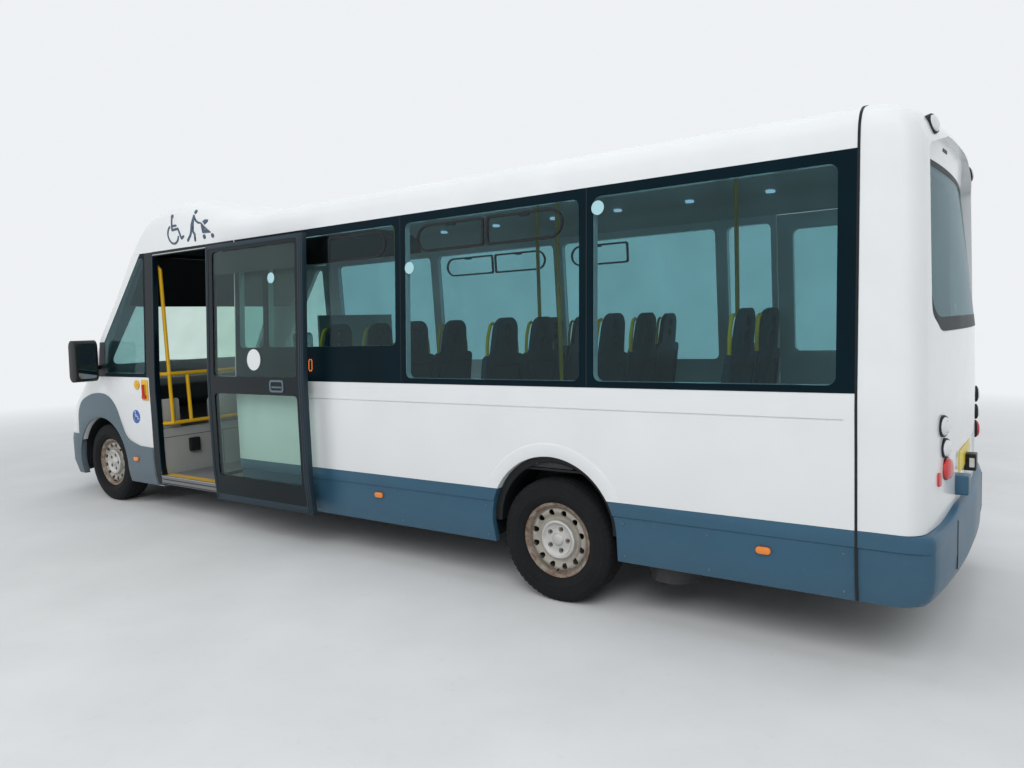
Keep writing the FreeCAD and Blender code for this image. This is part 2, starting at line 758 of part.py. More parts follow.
# Floor, bulkhead and underframe
floor_front_x = 150
floor_rear_x = 6690
sill_depth = 70
scuttle_z = 1100
bulkhead_thickness = 20
bay_mat = (1800, 3400, 300, 980)
bay_mat_thickness = 3
wheel_box = (4490, 5375)
wheel_box_top_z = 775
wheel_box_inner_y = 730
box_skin = 12
inner_half = half_width - wall
floor_half = inner_half - 20
frame_half = inner_half - 28
seat_gap = 0.5
liner_radius = 450
liner_thickness = 6
cab_room = nose_hull(wall + seat_gap)


def liner_drum(y0, y1, radius):
    drum = Part.makeCylinder(radius, y1 - y0, Vector(front_axle_x, y0, front_axle_z), Vector(0, 1, 0))
    return drum.fuse(box(front_axle_x - radius, front_axle_x + radius, y0, y1, 0, front_axle_z))


def floor_pan():
    slab = box(floor_front_x, floor_rear_x, -floor_half, floor_half, floor_z - floor_thickness, floor_z)
    sill = box(door_front_x + 2, door_rear_x + 18, -half_width + 8, -floor_half, floor_z - sill_depth, floor_z)
    mat = box(*bay_mat, floor_z - 1, floor_z + bay_mat_thickness)
    pan = slab.multiFuse([sill, mat])
    for side in (-1, 1):
        y0, y1 = sorted((side * wheel_box_inner_y, side * 1300))
        pan = pan.cut(box(wheel_box[0], wheel_box[1], y0, y1, 0, floor_z + 1))
    for y0, y1 in ((600, 1300), (-1300, -600)):
        pan = pan.cut(liner_drum(y0, y1, liner_radius + liner_thickness))
    return pan


def wheel_houses():
    pieces = []
    for side in (-1, 1):
        y0, y1 = sorted((side * wheel_box_inner_y, side * floor_half))
        outer = box(wheel_box[0], wheel_box[1], y0, y1, floor_z - floor_thickness, wheel_box_top_z)
        ya, yb = sorted((side * (wheel_box_inner_y + box_skin), side * 1300))
        pieces.append(outer.cut(box(wheel_box[0] + box_skin, wheel_box[1] - box_skin, ya, yb, 0,
                                    wheel_box_top_z - box_skin)))
        yc, yd = sorted((side * 600, side * half_width))
        drum = liner_drum(yc, yd, liner_radius + liner_thickness)
        drum = drum.cut(liner_drum(yc - 1, yd + 1, liner_radius))
        drum = drum.cut(box(-600, 600, -1300, 1300, -200, front_axle_z - 60))
        strut_hole = king_pin_cylinder(side, spring_radius + 6, 300, 900)
        pieces.append(drum.cut(strut_hole).common(cab_room))
    return pieces


king_pin_tilt = math.radians(king_pin_tilt_deg)


def king_pin_point(side, up):
    """A point on the steering axis, a distance up from its foot."""
    foot_z = front_axle_z - king_pin_foot_drop
    return Vector(front_axle_x, side * (king_pin_foot_y - up * math.sin(king_pin_tilt)),
                  foot_z + up * math.cos(king_pin_tilt))


def king_pin_cylinder(side, radius, low, high):
    return cylinder(radius, king_pin_point(side, low), king_pin_point(side, high))


nodes["wheel_houses"] = solids_of(wheel_houses())


def bulkhead():
    edge = inner_half
    firewall = box(floor_front_x - bulkhead_thickness, floor_front_x, -560, 560, floor_z - floor_thickness, scuttle_z)
    scuttle = box(-480, floor_front_x, -edge, edge, scuttle_z, scuttle_z + bulkhead_thickness)
    scuttle = scuttle.common(cab_room)
    return fused([firewall, scuttle])


nodes["floor"] = fused([floor_pan(), bulkhead()])

rail_y = (330, 420)
rail_z = (250, floor_z - floor_thickness)
rail_stations = (-640, 6700)
cross_stations = [960, 2150, 3300, 4380, 5450, 6250]
cross_width = 70


# Silencer drum under the left skirt, behind the rear wheel: station, y, radius and heights
silencer = (5590, -860, 125)
silencer_z = (205, 290)


def underframe():
    bars = []
    for side in (-1, 1):
        y0, y1 = sorted((side * rail_y[0], side * rail_y[1]))
        bars.append(box(rail_stations[0], rail_stations[1], y0, y1, rail_z[0], rail_z[1]))
    for x in cross_stations:
        bars.append(box(x, x + cross_width, -frame_half, frame_half, rail_z[0] + 60, rail_z[1]))
    boss = cylinder(tow_boss_radius, Vector(-840, tow_eye_y, tow_eye_z), Vector(-620, tow_eye_y, tow_eye_z))
    bars.append(box(-680, -620, -700, 700, 300, 520))
    bars.append(boss)
    drum_x, drum_y, drum_radius = silencer
    bars.append(Part.makeCylinder(drum_radius, silencer_z[1] - silencer_z[0], Vector(drum_x, drum_y, silencer_z[0])))
    bars.append(box(cross_stations[4], cross_stations[4] + cross_width, drum_y - 20, drum_y + 20,
                    silencer_z[0] + 20, rail_z[0] + 60))
    frame = fused(bars)
    return frame.cut(cylinder(tow_bore_radius, Vector(-841, tow_eye_y, tow_eye_z),
                              Vector(-840 + tow_bore_depth, tow_eye_y, tow_eye_z)))


nodes["underframe"] = underframe()

# Front suspension: subframe, lower arms and struts; the knuckles turn between arm and strut
arm_thickness = 24


def front_suspension():
    foot_z = front_axle_z - king_pin_foot_drop
    pieces = [box(front_axle_x - 130, front_axle_x + 130, -420, 420, rail_z[0] - 40, rail_z[0])]
    for side in (-1, 1):
        foot = king_pin_point(side, 0)
        root_y = side * 425
        outline = [(front_axle_x - 120, root_y, 0), (front_axle_x - 25, foot.y - side * 30, 0),
                   (front_axle_x - 25, foot.y + side * 20, 0), (front_axle_x + 25, foot.y + side * 20, 0),
                   (front_axle_x + 25, foot.y - side * 30, 0), (front_axle_x + 120, root_y, 0)]
        level = foot_z - arm_thickness - 14
        pieces.append(plan_prism(outline, level, level + arm_thickness))
        pieces.append(king_pin_cylinder(side, king_pin_radius, -20, 0))
        pieces.append(box(front_axle_x - 120, front_axle_x + 120, *sorted((side * 360, side * 420)),
                          rail_z[0] - 40, rail_z[0]))
        pieces.append(box(front_axle_x - 120, front_axle_x + 120, *sorted((side * 420, side * 440)),
                          rail_z[0] - 40, level + arm_thickness))
    return fused(pieces)


def struts():
    pieces = []
    for side in (-1, 1):
        rod = king_pin_cylinder(side, strut_radius, king_pin_length + 0.3, 1100)
        spring = king_pin_cylinder(side, spring_radius, king_pin_length + 175, 1100)
        pieces.append(rod.fuse(spring).common(box(-300, 300, -1000, 1000, 0, scuttle_z)))
    return pieces


nodes["front_suspension"] = Part.makeCompound([front_suspension()] + struts())

# Engine and gearbox as one plain block on the rails
engine_block = (-600, -190, -380, 380)
engine_top_z = 930
nodes["engine"] = box(engine_block[0], engine_block[1], engine_block[2], engine_block[3],
                      rail_z[1], engine_top_z)

# Rear axle: cross tube, trailing arms, stub axles, air springs
arm_y = (770, 800)
cross_tube_x = rear_axle_x - 340
cross_tube_radius = 32


def rear_axle():
    tube_z = rail_z[0] - cross_tube_radius
    pieces = [cylinder(cross_tube_radius, Vector(cross_tube_x, -arm_y[1], tube_z),
                       Vector(cross_tube_x, arm_y[1], tube_z))]
    for side in (-1, 1):
        y0, y1 = sorted((side * arm_y[0], side * arm_y[1]))
        pieces.append(side_prism([
            (cross_tube_x - 40, tube_z - 35, 20), (rear_axle_x - 40, tube_z - 10, 20),
            (rear_axle_x + 60, rear_axle_z - 60, 20), (rear_axle_x + 60, rear_axle_z + 60, 20),
            (rear_axle_x - 60, rear_axle_z + 60, 20), (cross_tube_x - 40, tube_z + 45, 20)], y0, y1))
        pieces.append(cylinder(stub_radius, Vector(rear_axle_x, side * arm_y[0], rear_axle_z),
                               Vector(rear_axle_x, side * stub_end_y, rear_axle_z)))
        pieces.append(box(cross_tube_x - 40, cross_tube_x + 40, *sorted((side * rail_y[0], side * rail_y[1])),
                          tube_z - 20, rail_z[0]))
    return fused(pieces)


nodes["rear_axle"] = rear_axle()

# Wheels: steel disc wheels with twelve vents, tyres
vent_count = 12
vent_ring_radius = 142
vent_radius = 17
stud_ring_radius = 60


def rim():
    """A steel wheel: well, flanges, domed disc with vents; it faces +y and is mirrored for the left."""
    half = rim_width / 2
    profile = [
        (0, 62), (34, 62), (80, 64), (88, 48), (128, 40), (160, 58), (178, 52), (rim_radius - 24, half - 14),
        (rim_radius - 20, -half + 20), (rim_radius - 4, -half + 2), (rim_radius + 14, -half),
        (rim_radius + 14, -half + 12), (rim_radius, -half + 16), (rim_radius - 12, -half + 40),
        (rim_radius - 12, half - 26), (rim_radius, half - 16), (rim_radius + 14, half - 12),
        (rim_radius + 14, half), (rim_radius - 6, half - 2), (rim_radius - 14, half - 14), (176, 66),
        (160, 70), (128, 52), (92, 60), (84, 76), (34, 74), (0, 74)]
    points = [Vector(0, y, r) for r, y in profile]
    face = Part.Face(Part.makePolygon(points + points[:1]))
    solid = face.revolve(Vector(0, 0, 0), Vector(0, 1, 0), 360)
    hub = cylinder(hub_radius, Vector(0, disc_inner_y - wheel_centre_y - 45, 0), Vector(0, 62, 0))
    solid = solid.fuse(hub)
    for i in range(vent_count):
        angle = 2 * math.pi * i / vent_count
        x = vent_ring_radius * math.sin(angle)
        z = vent_ring_radius * math.cos(angle)
        solid = solid.cut(cylinder(vent_radius, Vector(x, 0, z), Vector(x, half + 20, z)))
    bore = cylinder(stub_radius + stub_gap, Vector(0, -half - 50, 0),
                    Vector(0, stub_end_y - wheel_centre_y + stub_gap, 0))
    return solid.cut(bore)


tyre_facets = 60


def tyre():
    """A tyre in flat facets round its axle, with a corner at the lowest point."""
    half = tyre_width / 2
    section = [
        (rim_radius + 14.5, half - 35), (rim_radius + 60, half - 2), (rim_radius + 90, half),
        (tyre_radius - 25, half - 8), (tyre_radius - 6, half - 24), (tyre_radius, half - 50),
        (tyre_radius, -half + 50), (tyre_radius - 6, -half + 24), (tyre_radius - 25, -half + 8),
        (rim_radius + 90, -half), (rim_radius + 60, -half + 2), (rim_radius + 14.5, -half + 35)]
    turns = [2 * math.pi * i / tyre_facets for i in range(tyre_facets)]
    rings = [[Vector(r * math.sin(turn), y, r * math.cos(turn)) for r, y in section] for turn in turns]
    faces = []
    for ring, after in zip(rings, rings[1:] + rings[:1]):
        for i in range(len(section)):
            j = (i + 1) % len(section)
            faces.append(Part.Face(Part.makePolygon([ring[i], ring[j], after[j], after[i], ring[i]])))
    shell = Part.Shell(faces)
    solid = Part.Solid(shell)
    if solid.Volume < 0:
        solid.reverse()
    return solid


wheel_places = [
    # Columns: name, station, side, height
    ("front_left", front_axle_x, -1, front_axle_z), ("front_right", front_axle_x, 1, front_axle_z),
    ("rear_left", rear_axle_x, -1, rear_axle_z), ("rear_right", rear_axle_x, 1, rear_axle_z)]


def wheels():
    wheel_rim = rim()
    wheel_tyre = tyre()
    for name, x, side, z in wheel_places:
        place = Vector(x, side * wheel_centre_y, z)
        for kind, shape in (("rim", wheel_rim), ("tyre", wheel_tyre)):
            turned = shape if side > 0 else mirrored(shape)
            moved = turned.copy()
            moved.translate(place)
            nodes[kind + "_" + name] = moved


wheels()


def knuckle(side):
    """Upright that turns on the steering axis, with its stub axle and steering arm."""
    post = king_pin_cylinder(side, king_pin_radius, 0.3, king_pin_length)
    axle_y = king_pin_point(side, king_pin_foot_drop / math.cos(king_pin_tilt)).y
    stub = cylinder(stub_radius, Vector(front_axle_x, axle_y, front_axle_z),
                    Vector(front_axle_x, side * stub_end_y, front_axle_z))
    track_arm = box(front_axle_x, front_axle_x + 130, *sorted((axle_y - side * 25, axle_y + side * 5)),
                    front_axle_z - 70, front_axle_z - 45)
    return fused([post, stub, track_arm])


nodes["knuckle_left"] = knuckle(-1)
nodes["knuckle_right"] = knuckle(1)

# Passenger door: one leaf that plugs out and slides back, shown open
leaf_shift_x = 964
leaf_shift_y = -120
leaf_thickness = 38
leaf_glass_depth = (6, 12)
leaf_bottom_z = 320
leaf_top_z = 2290
upper_light = (1000, 1970, 1290, 2235)
lower_light = (1000, 1970, 520, 1160)


def door_leaf():
    outer, inner = leaf_glass_depth
    leaf = side_layer(0, leaf_thickness, door_front_x, door_rear_x, leaf_bottom_z, leaf_top_z, -1)
    panes = []
    for x0, x1, z0, z1 in (upper_light, lower_light):
        panes.append(side_layer(outer, inner, x0 - 20, x1 + 20, z0 - 20, z1 + 20, -1))
        leaf = leaf.cut(side_prism(window(x0, x1, z0, z1, 30), -1300, -900))
    glass_panes = Part.makeCompound(panes)
    leaf = leaf.cut(glass_panes)
    for shape in (leaf, glass_panes):
        shape.translate(Vector(leaf_shift_x, leaf_shift_y, 0))
    return leaf, glass_panes


nodes["door_leaf"], nodes["door_glass"] = door_leaf()

door_pole_x = 1985
door_pole_y = -960
door_pole_radius = 20
door_arm_radius = 14
door_arm_z = (520, 2200)


def door_gear():
    pole = Part.makeCylinder(door_pole_radius, cantrail_z - floor_z, Vector(door_pole_x, door_pole_y, floor_z))
    arms = []
    for z in door_arm_z:
        outer_face = min(level_row(z - door_arm_radius)[6], level_row(z + door_arm_radius)[6])
        end_y = outer_face - leaf_thickness - leaf_shift_y - joint_gap
        arms.append(cylinder(door_arm_radius, Vector(door_pole_x, door_pole_y, z), Vector(door_pole_x, -end_y, z)))
    return fused([pole] + arms)


nodes["door_gear"] = door_gear()

# Dashboard, steering wheel, driver's seat
dash_half = 1010
steering_centre = (690, 480, 1190)
steering_tilt_deg = 45
steering_radius = 200
steering_rim_radius = 15


def dashboard():
    top = scuttle_z + bulkhead_thickness
    block = side_prism([(-430, top, 0), (floor_front_x, top, 0), (floor_front_x, 940, 0), (470, 940, 40),
                        (560, 1000, 60), (520, 1150, 60), (380, 1215, 80), (-330, 1225, 20)],
                       -dash_half, dash_half)
    block = block.common(nose_hull(wall + 4))
    hood = side_prism([(330, 1190, 0), (540, 1150, 20), (560, 1270, 40), (380, 1300, 40)], 290, 670)
    return fused([block, hood, steering_column()])


def steering_wheel():
    ring = Part.makeTorus(steering_radius, steering_rim_radius)
    hub = Part.makeCylinder(48, 50, Vector(0, 0, -45))
    spokes = [box(-steering_radius, steering_radius, -18, 18, -18, -4)]
    spokes.append(box(-18, 18, -steering_radius, 0, -18, -4))
    wheel = ring.fuse([hub] + spokes)
    wheel.rotate(Vector(0, 0, 0), Vector(0, 1, 0), 90 - steering_tilt_deg)
    wheel.translate(Vector(*steering_centre))
    return wheel


nodes["steering_wheel"] = steering_wheel()


def steering_column():
    tilt = math.radians(steering_tilt_deg)
    axis = Vector(math.cos(tilt), 0, math.sin(tilt))
    centre = Vector(*steering_centre)
    top = centre - axis * 45.3
    bottom = centre - axis * 230
    return cylinder(32, bottom, top)


nodes["dashboard"] = dashboard()

driver_seat_x = 1020


def cushion(x0, x1, y0, y1, z0, z1, radius):
    return side_prism([(x0, z0, 20), (x1, z0, 20), (x1, z1, radius), (x0, z1, radius)], y0, y1)


def driver_seat():
    y0, y1 = 225, 735
    x = driver_seat_x
    squab = cushion(x, x + 480, y0, y1, 790, 900, 40)
    back = side_prism([(x + 400, 900 + joint_gap, 30), (x + 510, 900 + joint_gap, 30), (x + 640, 1480, 40), (x + 540, 1480, 40)], y0, y1)
    head = side_prism([(x + 555, 1500, 30), (x + 645, 1500, 30), (x + 665, 1660, 30), (x + 585, 1660, 30)],
                      y0 + 120, y1 - 120)
    stalks = box(x + 585, x + 600, y0 + 170, y0 + 185, 1460, 1520).fuse(
        box(x + 585, x + 600, y1 - 185, y1 - 170, 1460, 1520))
    return fused([squab, back, head, stalks])


nodes["driver_seat"] = driver_seat()

# Passenger seats. Columns: station of the headrest, y of the two places
seat_rows = [
    (2970, -618), (3720, -618), (4470, -618), (5220, -618), (5970, -618),
    (4050, 618), (4820, 618), (5570, 618)]
seat_pitch_y = 420
seat_width = 396
cushion_length = 440
cushion_z = (820, 905)
back_top_z = 1655
back_lean = 110
shoulder_z = 1420
head_half = 112
head_hole_z = (1505, 1585)
head_hole_radius = 24
grip_x = (-36, -2)


def seat_places():
    places = []
    for x, y in seat_rows:
        for shift in (-0.5, 0.5):
            places.append((x, y + shift * seat_pitch_y))
    return places


def passenger_seat(x, y):
    y0 = y - seat_width / 2
    y1 = y + seat_width / 2
    squab = cushion(x - back_lean - cushion_length, x - back_lean - 12, y0, y1, cushion_z[0], cushion_z[1], 40)
    back = side_prism([
        (x - back_lean - 30, cushion_z[1] - 40, 10), (x - back_lean + 50, cushion_z[1] - 40, 10),
        (x + 35, back_top_z - 10, 25), (x - 40, back_top_z - 10, 25)], y0, y1)
    shoulders = end_prism([
        (y0, cushion_z[1] - 60, 0), (y1, cushion_z[1] - 60, 0), (y1, shoulder_z, 30),
        (y + head_half + 8, shoulder_z + 10, 15), (y + head_half - 12, back_top_z, 95),
        (y - head_half + 12, back_top_z, 95), (y - head_half - 8, shoulder_z + 10, 15), (y0, shoulder_z, 30)],
        x - 300, x + 100)
    back = back.common(shoulders)
    for z in head_hole_z:
        back = back.cut(cylinder(head_hole_radius, Vector(x - 300, y, z), Vector(x + 100, y, z)))
    return fused([squab, back] + seat_grips(x, y))


def seat_grips(x, y):
    """Curved grips from each shoulder of the back up to the side of its head."""
    grips = []
    for side in (-1, 1):
        outline = [(150, shoulder_z - 12, 0), (168, shoulder_z - 12, 0), (162, 1520, 80), (124, 1622, 20),
                   (92, 1630, 0), (88, 1616, 0), (114, 1608, 20), (146, 1514, 80)]
        corners = [(y + side * v, z, r) for v, z, r in outline]
        grips.append(end_prism(corners, x + grip_x[0], x + grip_x[1]))
    return grips


def seats():
    return [passenger_seat(x, y) for x, y in seat_places()]


def seat_frames():
    pieces = []
    for x, y in seat_rows:
        rails = box(x - 500, x - 170, y - 400, y + 400, cushion_z[0] - 40, cushion_z[0])
        inner = y - 200 * (1 if y > 0 else -1)
        leg = box(x - 380, x - 320, inner - 20, inner + 20, floor_z, cushion_z[0] - 40)
        base = box(x - 500, x - 180, inner - 35, inner + 35, floor_z, floor_z + 12)
        side = 1 if y > 0 else -1
        wall_end = side * inner_half
        ledge = box(x - 430, x - 390, *sorted((y, wall_end)), cushion_z[0] - 20, cushion_z[0])
        pieces.append(fused([rails, leg, base, ledge]))
    return pieces


nodes["seats"] = Part.makeCompound(seats())
driver_seat_base = box(driver_seat_x + 60, driver_seat_x + 420, 280, 680, floor_z, 790)
nodes["seat_frames"] = Part.makeCompound(seat_frames() + [driver_seat_base])

# Rails round the entrance and poles in the saloon
tube = 14


def tube_run(points, radius):
    pieces = []
    for a, b in zip(points, points[1:]):
        pieces.append(cylinder(radius, a, b))
    for p in points[1:-1]:
        pieces.append(Part.makeSphere(radius, p))
    return fused(pieces)


entrance_x = 950
entrance_pole_y = -955
entrance_post_y = -170
rail_heights = (850, 1280)


def entrance_rails():
    """Slanting pole at the door's front edge, two rails across and their posts."""
    low, high = rail_heights
    runs = [
        [Vector(880, -1000, 2250), Vector(905, entrance_pole_y, 2180), Vector(entrance_x, entrance_pole_y, low)],
        [Vector(entrance_x - 22, -780, high), Vector(entrance_x - 2, -780, low)],
        [Vector(entrance_x, entrance_post_y, floor_z), Vector(entrance_x, entrance_post_y, high)],
    ]
    for z, x in ((low, entrance_x), (high, entrance_x - 14)):
        runs.append([Vector(890, -1060, z), Vector(x, entrance_pole_y, z), Vector(x, entrance_post_y, z)])
    rails = fused([tube_run(run, tube + 2) for run in runs])
    return rails.cut(nodes["cab_shell"])


aisle_half = 210
poles = [(2985, -1), (4485, -1), (4065, 1), (5585, 1)]


def saloon_rails():
    pieces = [entrance_rails()]
    for x, side in poles:
        y = side * (aisle_half - tube - seat_gap)
        pieces.append(Part.makeCylinder(tube, levels[-1][5] - wall - floor_z, Vector(x, y, floor_z)))
    return pieces


nodes["handrails"] = Part.makeCompound(saloon_rails())

# Panels: ahead of the entrance, behind the driver
nodes["partitions"] = Part.makeCompound([
    box(885, 915, -inner_half, -170, floor_z, 800).common(cab_room),
    box(1720, 1745, 60, 1000, floor_z, 1750)])

# Mirrors and wipers


def mirror(side, foot_x):
    """Mirror head on an arm that stands on the side of the cab."""
    head = side_prism([(-10, 1215, 60), (120, 1225, 60), (130, 1590, 60), (10, 1600, 60)],
                      *sorted((side * 1150, side * 1350)))
    arm = cylinder(20, Vector(foot_x, side * 1000, 1305), Vector(40, side * 1165, 1370))
    return fused([head, arm.cut(nose_hull(0))])


nodes["mirror_left"] = mirror(-1, -75)
nodes["mirror_right"] = mirror(1, 58)


def finish_and_write():
    os.makedirs("parts", exist_ok=True)
    pivot = Vector(rear_axle_x, 0, rear_axle_z)
    for name, shape in nodes.items():
        standing = shape.copy()
        standing.rotate(pivot, Vector(0, -1, 0), rake_deg)
        standing.translate(Vector(-mid_length_x, 0, 0))
        standing.exportStep("parts/" + name + ".step")


finish_and_write()
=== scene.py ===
import bmesh
import bpy
import math
from mathutils import Matrix, Vector


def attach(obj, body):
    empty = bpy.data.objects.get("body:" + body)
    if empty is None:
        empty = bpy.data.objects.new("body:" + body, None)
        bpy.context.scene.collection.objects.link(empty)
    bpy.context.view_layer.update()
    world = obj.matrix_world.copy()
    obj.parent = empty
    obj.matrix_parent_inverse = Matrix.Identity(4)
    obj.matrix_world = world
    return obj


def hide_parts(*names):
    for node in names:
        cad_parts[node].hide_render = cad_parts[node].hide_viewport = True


# Looks of a low-floor minibus, in metres.
# Pieces are drawn in the body's own level frame, as in the part's source: x is the station behind
# the front axle, y runs to the vehicle's right, z is the height over the ground at the rear axle.
# The whole body is then pitched nose down about the rear axle, as it stands parked.
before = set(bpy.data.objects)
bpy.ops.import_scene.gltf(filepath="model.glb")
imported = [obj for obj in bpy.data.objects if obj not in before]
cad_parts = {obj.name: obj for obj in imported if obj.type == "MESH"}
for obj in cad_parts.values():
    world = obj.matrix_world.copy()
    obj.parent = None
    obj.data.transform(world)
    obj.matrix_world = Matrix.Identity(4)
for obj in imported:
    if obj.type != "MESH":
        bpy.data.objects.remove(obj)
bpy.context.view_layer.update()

sides = ((-1, "left"), (1, "right"))
# Steps of the searches that find a place on the hull by halving
halvings = 24

# Wheels, levels and stations of the body
wheel_base = 4.930
half_length_x = 3.000
rake = math.radians(0.957)
leaf_stand_off = 0.120
leaf_shift_x = 0.964
rear_lip_proud = 0.005
rear_lip_radius = 0.495
rear_arch_z = 0.440
rear_arch_radius = 0.417
tyre_radius = 0.360
wheel_centre_y = 0.940
half_width = 1.085
skirt_bottom_z = 0.305
skirt_crease_z = 0.560
skirt_top_z = 0.640
waist_z = 1.255
cantrail_z = 2.330
wall = 0.045
skin_thickness = 0.030
glass_thickness = 0.006
cab_end_x = 0.830
door_front_x = 0.920
door_rear_x = 2.050
dome_top_x = 1.250
dome_end_x = 2.250
tail_joint_x = 6.555
tail_start_x = 6.400
front_wheel_x = wheel_base * (1 - math.cos(rake))
front_wheel_z = tyre_radius + wheel_base * math.sin(rake)

# The body's outline, level by level from the skirt's hem to the roof.
# Columns: height at the cab, nose station, bow of the nose, its corner radius, half width at the cab,
# height along the saloon, half width there, station of the tail, bow of the tail, its corner radius.
levels = [
    (0.305, -0.880, 0.120, 0.240, 1.058, 0.305, 1.058, 6.880, 0.070, 0.090),
    (0.430, -0.950, 0.130, 0.270, 1.080, 0.430, 1.080, 6.900, 0.070, 0.100),
    (0.640, -0.950, 0.130, 0.280, 1.085, 0.640, 1.085, 6.900, 0.070, 0.100),
    (0.960, -0.870, 0.150, 0.290, 1.085, 0.960, 1.085, 6.900, 0.070, 0.100),
    (1.255, -0.540, 0.130, 0.270, 1.085, 1.255, 1.085, 6.900, 0.070, 0.100),
    (2.330, 0.360, 0.090, 0.200, 1.027, 2.330, 1.027, 6.875, 0.060, 0.110),
    (2.480, 0.490, 0.090, 0.200, 1.012, 2.415, 1.018, 6.860, 0.060, 0.115),
    (2.595, 0.620, 0.090, 0.210, 0.985, 2.475, 0.990, 6.825, 0.060, 0.120),
    (2.675, 0.770, 0.090, 0.220, 0.935, 2.512, 0.945, 6.780, 0.060, 0.130),
    (2.722, 0.900, 0.060, 0.160, 0.860, 2.535, 0.880, 6.735, 0.060, 0.110),
    (2.750, 1.010, 0.040, 0.110, 0.700, 2.560, 0.700, 6.650, 0.030, 0.060),
]
waist_row = 4
cantrail_row = 5
top_row = 10

# The sheet that the rear window lies in: heights with their stations
recess_line = [(1.480, 6.900), (2.305, 6.8106), (2.500, 6.8306)]

to_ground = (Matrix.Translation((wheel_base - half_length_x, 0, tyre_radius))
             @ Matrix.Rotation(-rake, 4, "Y")
             @ Matrix.Translation((-wheel_base, 0, -tyre_radius)))


# Shapes: a pair of vertices and faces

def joined(shapes):
    verts = []
    faces = []
    for points, loops in shapes:
        start = len(verts)
        verts.extend(points)
        faces.extend(tuple(i + start for i in loop) for loop in loops)
    return verts, faces


def rounded(corners, steps=6):
    """Outline points through corners (u, v, radius), each radius turned into a short arc."""
    points = []
    flat = [Vector((u, v)) for u, v, radius in corners]
    for i, (u, v, radius) in enumerate(corners):
        corner = flat[i]
        if radius == 0:
            points.append((u, v))
            continue
        to_last = (flat[i - 1] - corner).normalized()
        to_next = (flat[(i + 1) % len(flat)] - corner).normalized()
        half_angle = to_last.angle(to_next) / 2
        centre = corner + (to_last + to_next).normalized() * (radius / math.sin(half_angle))
        start = corner + to_last * (radius / math.tan(half_angle)) - centre
        end = corner + to_next * (radius / math.tan(half_angle)) - centre
        turn = start.angle_signed(end)
        for k in range(steps + 1):
            angle = -turn * k / steps
            spoke = Vector((start.x * math.cos(angle) - start.y * math.sin(angle),
                            start.x * math.sin(angle) + start.y * math.cos(angle)))
            points.append(tuple(centre + spoke))
    return points


def window(u0, u1, v0, v1, radius):
    return rounded([(u0, v0, radius), (u1, v0, radius), (u1, v1, radius), (u0, v1, radius)])


def ring(centre_u, centre_v, radius, count=24):
    return [(centre_u + radius * math.cos(math.tau * k / count),
             centre_v + radius * math.sin(math.tau * k / count)) for k in range(count)]


def across(u, v, w):
    """Side view outline (x, z), run along y."""
    return (u, w, v)


def along(u, v, w):
    """End view outline (y, z), run along x."""
    return (w, u, v)


def upward(u, v, w):
    """Plan outline (x, y), run along z."""
    return (u, v, w)


def prism(outline, lift, low, high):
    count = len(outline)
    verts = [lift(u, v, low) for u, v in outline] + [lift(u, v, high) for u, v in outline]
    faces = [tuple(reversed(range(count))), tuple(range(count, 2 * count))]
    for i in range(count):
        after = (i + 1) % count
        faces.append((i, after, count + after, count + i))
    return verts, faces


def block(x0, x1, y0, y1, z0, z1):
    return prism([(x0, y0), (x1, y0), (x1, y1), (x0, y1)], upward, z0, z1)


def slab(us, vs, lift, low, high):
    """A closed solid over a grid of (u, v) spots, between two depths of a lift."""
    verts = [lift(u, v, w) for w in (low, high) for v in vs for u in us]
    count = len(us)
    size = count * len(vs)
    faces = []
    for r in range(len(vs) - 1):
        for c in range(count - 1):
            quad = (r * count + c, r * count + c + 1, (r + 1) * count + c + 1, (r + 1) * count + c)
            faces += [quad, tuple(i + size for i in reversed(quad))]
    rim = list(range(count))
    rim += [r * count + count - 1 for r in range(1, len(vs))]
    rim += [size - 2 - c for c in range(count - 1)]
    rim += [r * count for r in reversed(range(1, len(vs) - 1))]
    for i, spot in enumerate(rim):
        after = rim[(i + 1) % len(rim)]
        faces.append((after, spot, spot + size, after + size))
    return verts, faces


def frame_ring(outer, inner, lift, low, high):
    """A flat frame between two outlines of as many points."""
    count = len(outer)
    verts = []
    for outline, depth in ((outer, low), (inner, low), (inner, high), (outer, high)):
        verts.extend(lift(u, v, depth) for u, v in outline)
    faces = []
    for layer in range(4):
        upper = (layer + 1) % 4
        for i in range(count):
            after = (i + 1) % count
            faces.append((layer * count + i, layer * count + after, upper * count + after,
                          upper * count + i))
    return verts, faces


def tube(path, radius, sides=12, ends=True):
    """A round bar through path points, without twist."""
    points = [Vector(p) for p in path]
    verts = []
    faces = []
    normal = None
    for i, point in enumerate(points):
        before = points[max(i - 1, 0)]
        after = points[min(i + 1, len(points) - 1)]
        heading = (after - before).normalized()
        if normal is None:
            side = Vector((0, 0, 1)) if abs(heading.z) < 0.9 else Vector((1, 0, 0))
            normal = heading.cross(side).normalized()
        normal = (normal - heading * normal.dot(heading)).normalized()
        other = heading.cross(normal)
        for k in range(sides):
            angle = math.tau * k / sides
            verts.append(tuple(point + (normal * math.cos(angle) + other * math.sin(angle)) * radius))
        if i:
            for k in range(sides):
                after_k = (k + 1) % sides
                low = (i - 1) * sides
                faces.append((low + k, low + after_k, low + sides + after_k, low + sides + k))
    if ends:
        faces.append(tuple(reversed(range(sides))))
        faces.append(tuple(range(len(verts) - sides, len(verts))))
    return verts, faces


